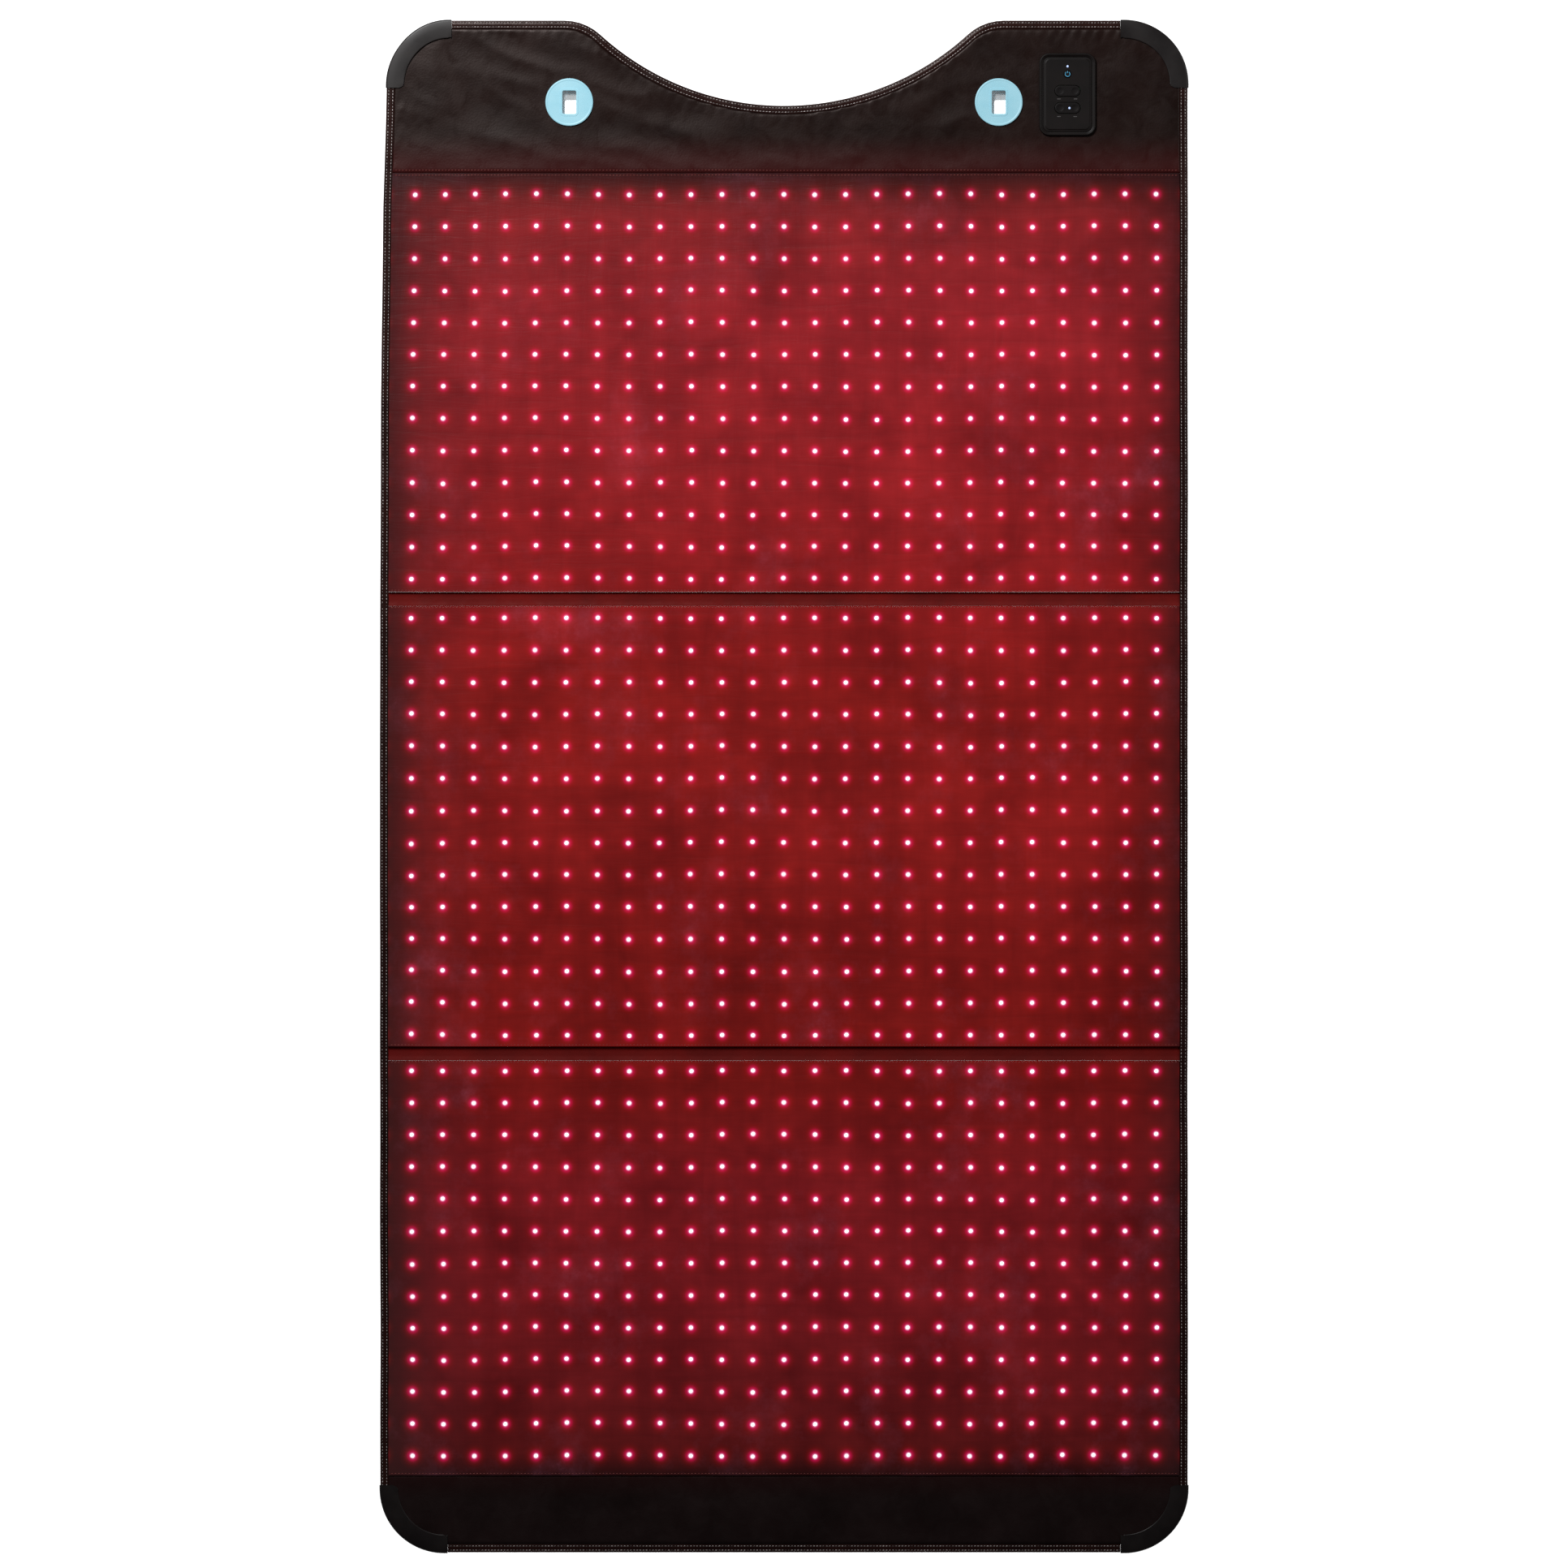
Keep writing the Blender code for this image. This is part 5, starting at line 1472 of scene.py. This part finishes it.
floorBuilder = bmesh.new()
bmesh.ops.create_grid(floorBuilder, x_segments=8, y_segments=8, size=studio["floorHalf"])
bmesh.ops.translate(floorBuilder, vec=(0, 0, -studio["floorDrop"]), verts=floorBuilder.verts)
floorMesh = bpy.data.meshes.new("studioFloor")
floorBuilder.to_mesh(floorMesh)
floorBuilder.free()
floorMaterial, floorTree, floorShader = newMaterial(
    "paperSweep", studio["floor"], 0.85, Emission_Strength=studio["floorGlow"], Specular_IOR_Level=0.1
)
paper = addNode(floorTree, "ShaderNodeTexNoise", {"Scale": 3.0, "Detail": 2.0})
paperTone = addNode(
    floorTree, "ShaderNodeValToRGB", {"stops": [(0.3, "#fbfbfb"), (0.7, "#ffffff")]}, {"Fac": paper.outputs["Fac"]}
)
floorTree.links.new(paperTone.outputs["Color"], floorShader.inputs["Emission Color"])
floorMesh.materials.append(floorMaterial)
studioFloor = bpy.data.objects.new("studioFloor", floorMesh)
scene.collection.objects.link(studioFloor)

world = bpy.data.worlds.new("studioWorld")
world.use_nodes = True
world.node_tree.nodes["Background"].inputs["Color"].default_value = studio["world"]
scene.world = world

for name in ("key", "fill"):
    setting = studio[name]
    lamp = bpy.data.lights.new(name + "Light", "AREA")
    lamp.shape = "DISK"
    lamp.size = setting["size"]
    lamp.energy = setting["watts"]
    light = bpy.data.objects.new(name + "Light", lamp)
    light.location = setting["at"]
    toAim = Vector(setting["aim"]) - Vector(setting["at"])
    light.rotation_euler = toAim.to_track_quat("-Z", "Y").to_euler()
    scene.collection.objects.link(light)

setting = studio["floorSun"]
sun = bpy.data.lights.new("floorSun", "SUN")
sun.energy = setting["strength"]
sun.angle = radians(setting["degrees"])
sunlight = bpy.data.objects.new("floorSun", sun)
sunlight.rotation_euler = Vector(setting["toward"]).to_track_quat("Z", "Y").to_euler()
scene.collection.objects.link(sunlight)
lit = bpy.data.collections.new("floorOnly")
lit.objects.link(studioFloor)
shading = bpy.data.collections.new("eyeletsOnly")
for name in ("eyeletFrontLeft", "eyeletFrontRight"):
    shading.objects.link(bpy.data.objects[name])
sunlight.light_linking.receiver_collection = lit
sunlight.light_linking.blocker_collection = shading

cameraData = bpy.data.cameras.new("camera")
cameraData.lens = studio["lens"]
cameraData.sensor_width = 36
camera = bpy.data.objects.new("camera", cameraData)
distance = studio["across"] / 2 * studio["lens"] / (cameraData.sensor_width / 2)
camera.location = Vector(studio["aim"]) + Vector((0, 0, distance + 6 * mm))
cameraData.clip_end = 200
scene.collection.objects.link(camera)
scene.camera = camera
scene.view_settings.view_transform = "Standard"
print("studio done")
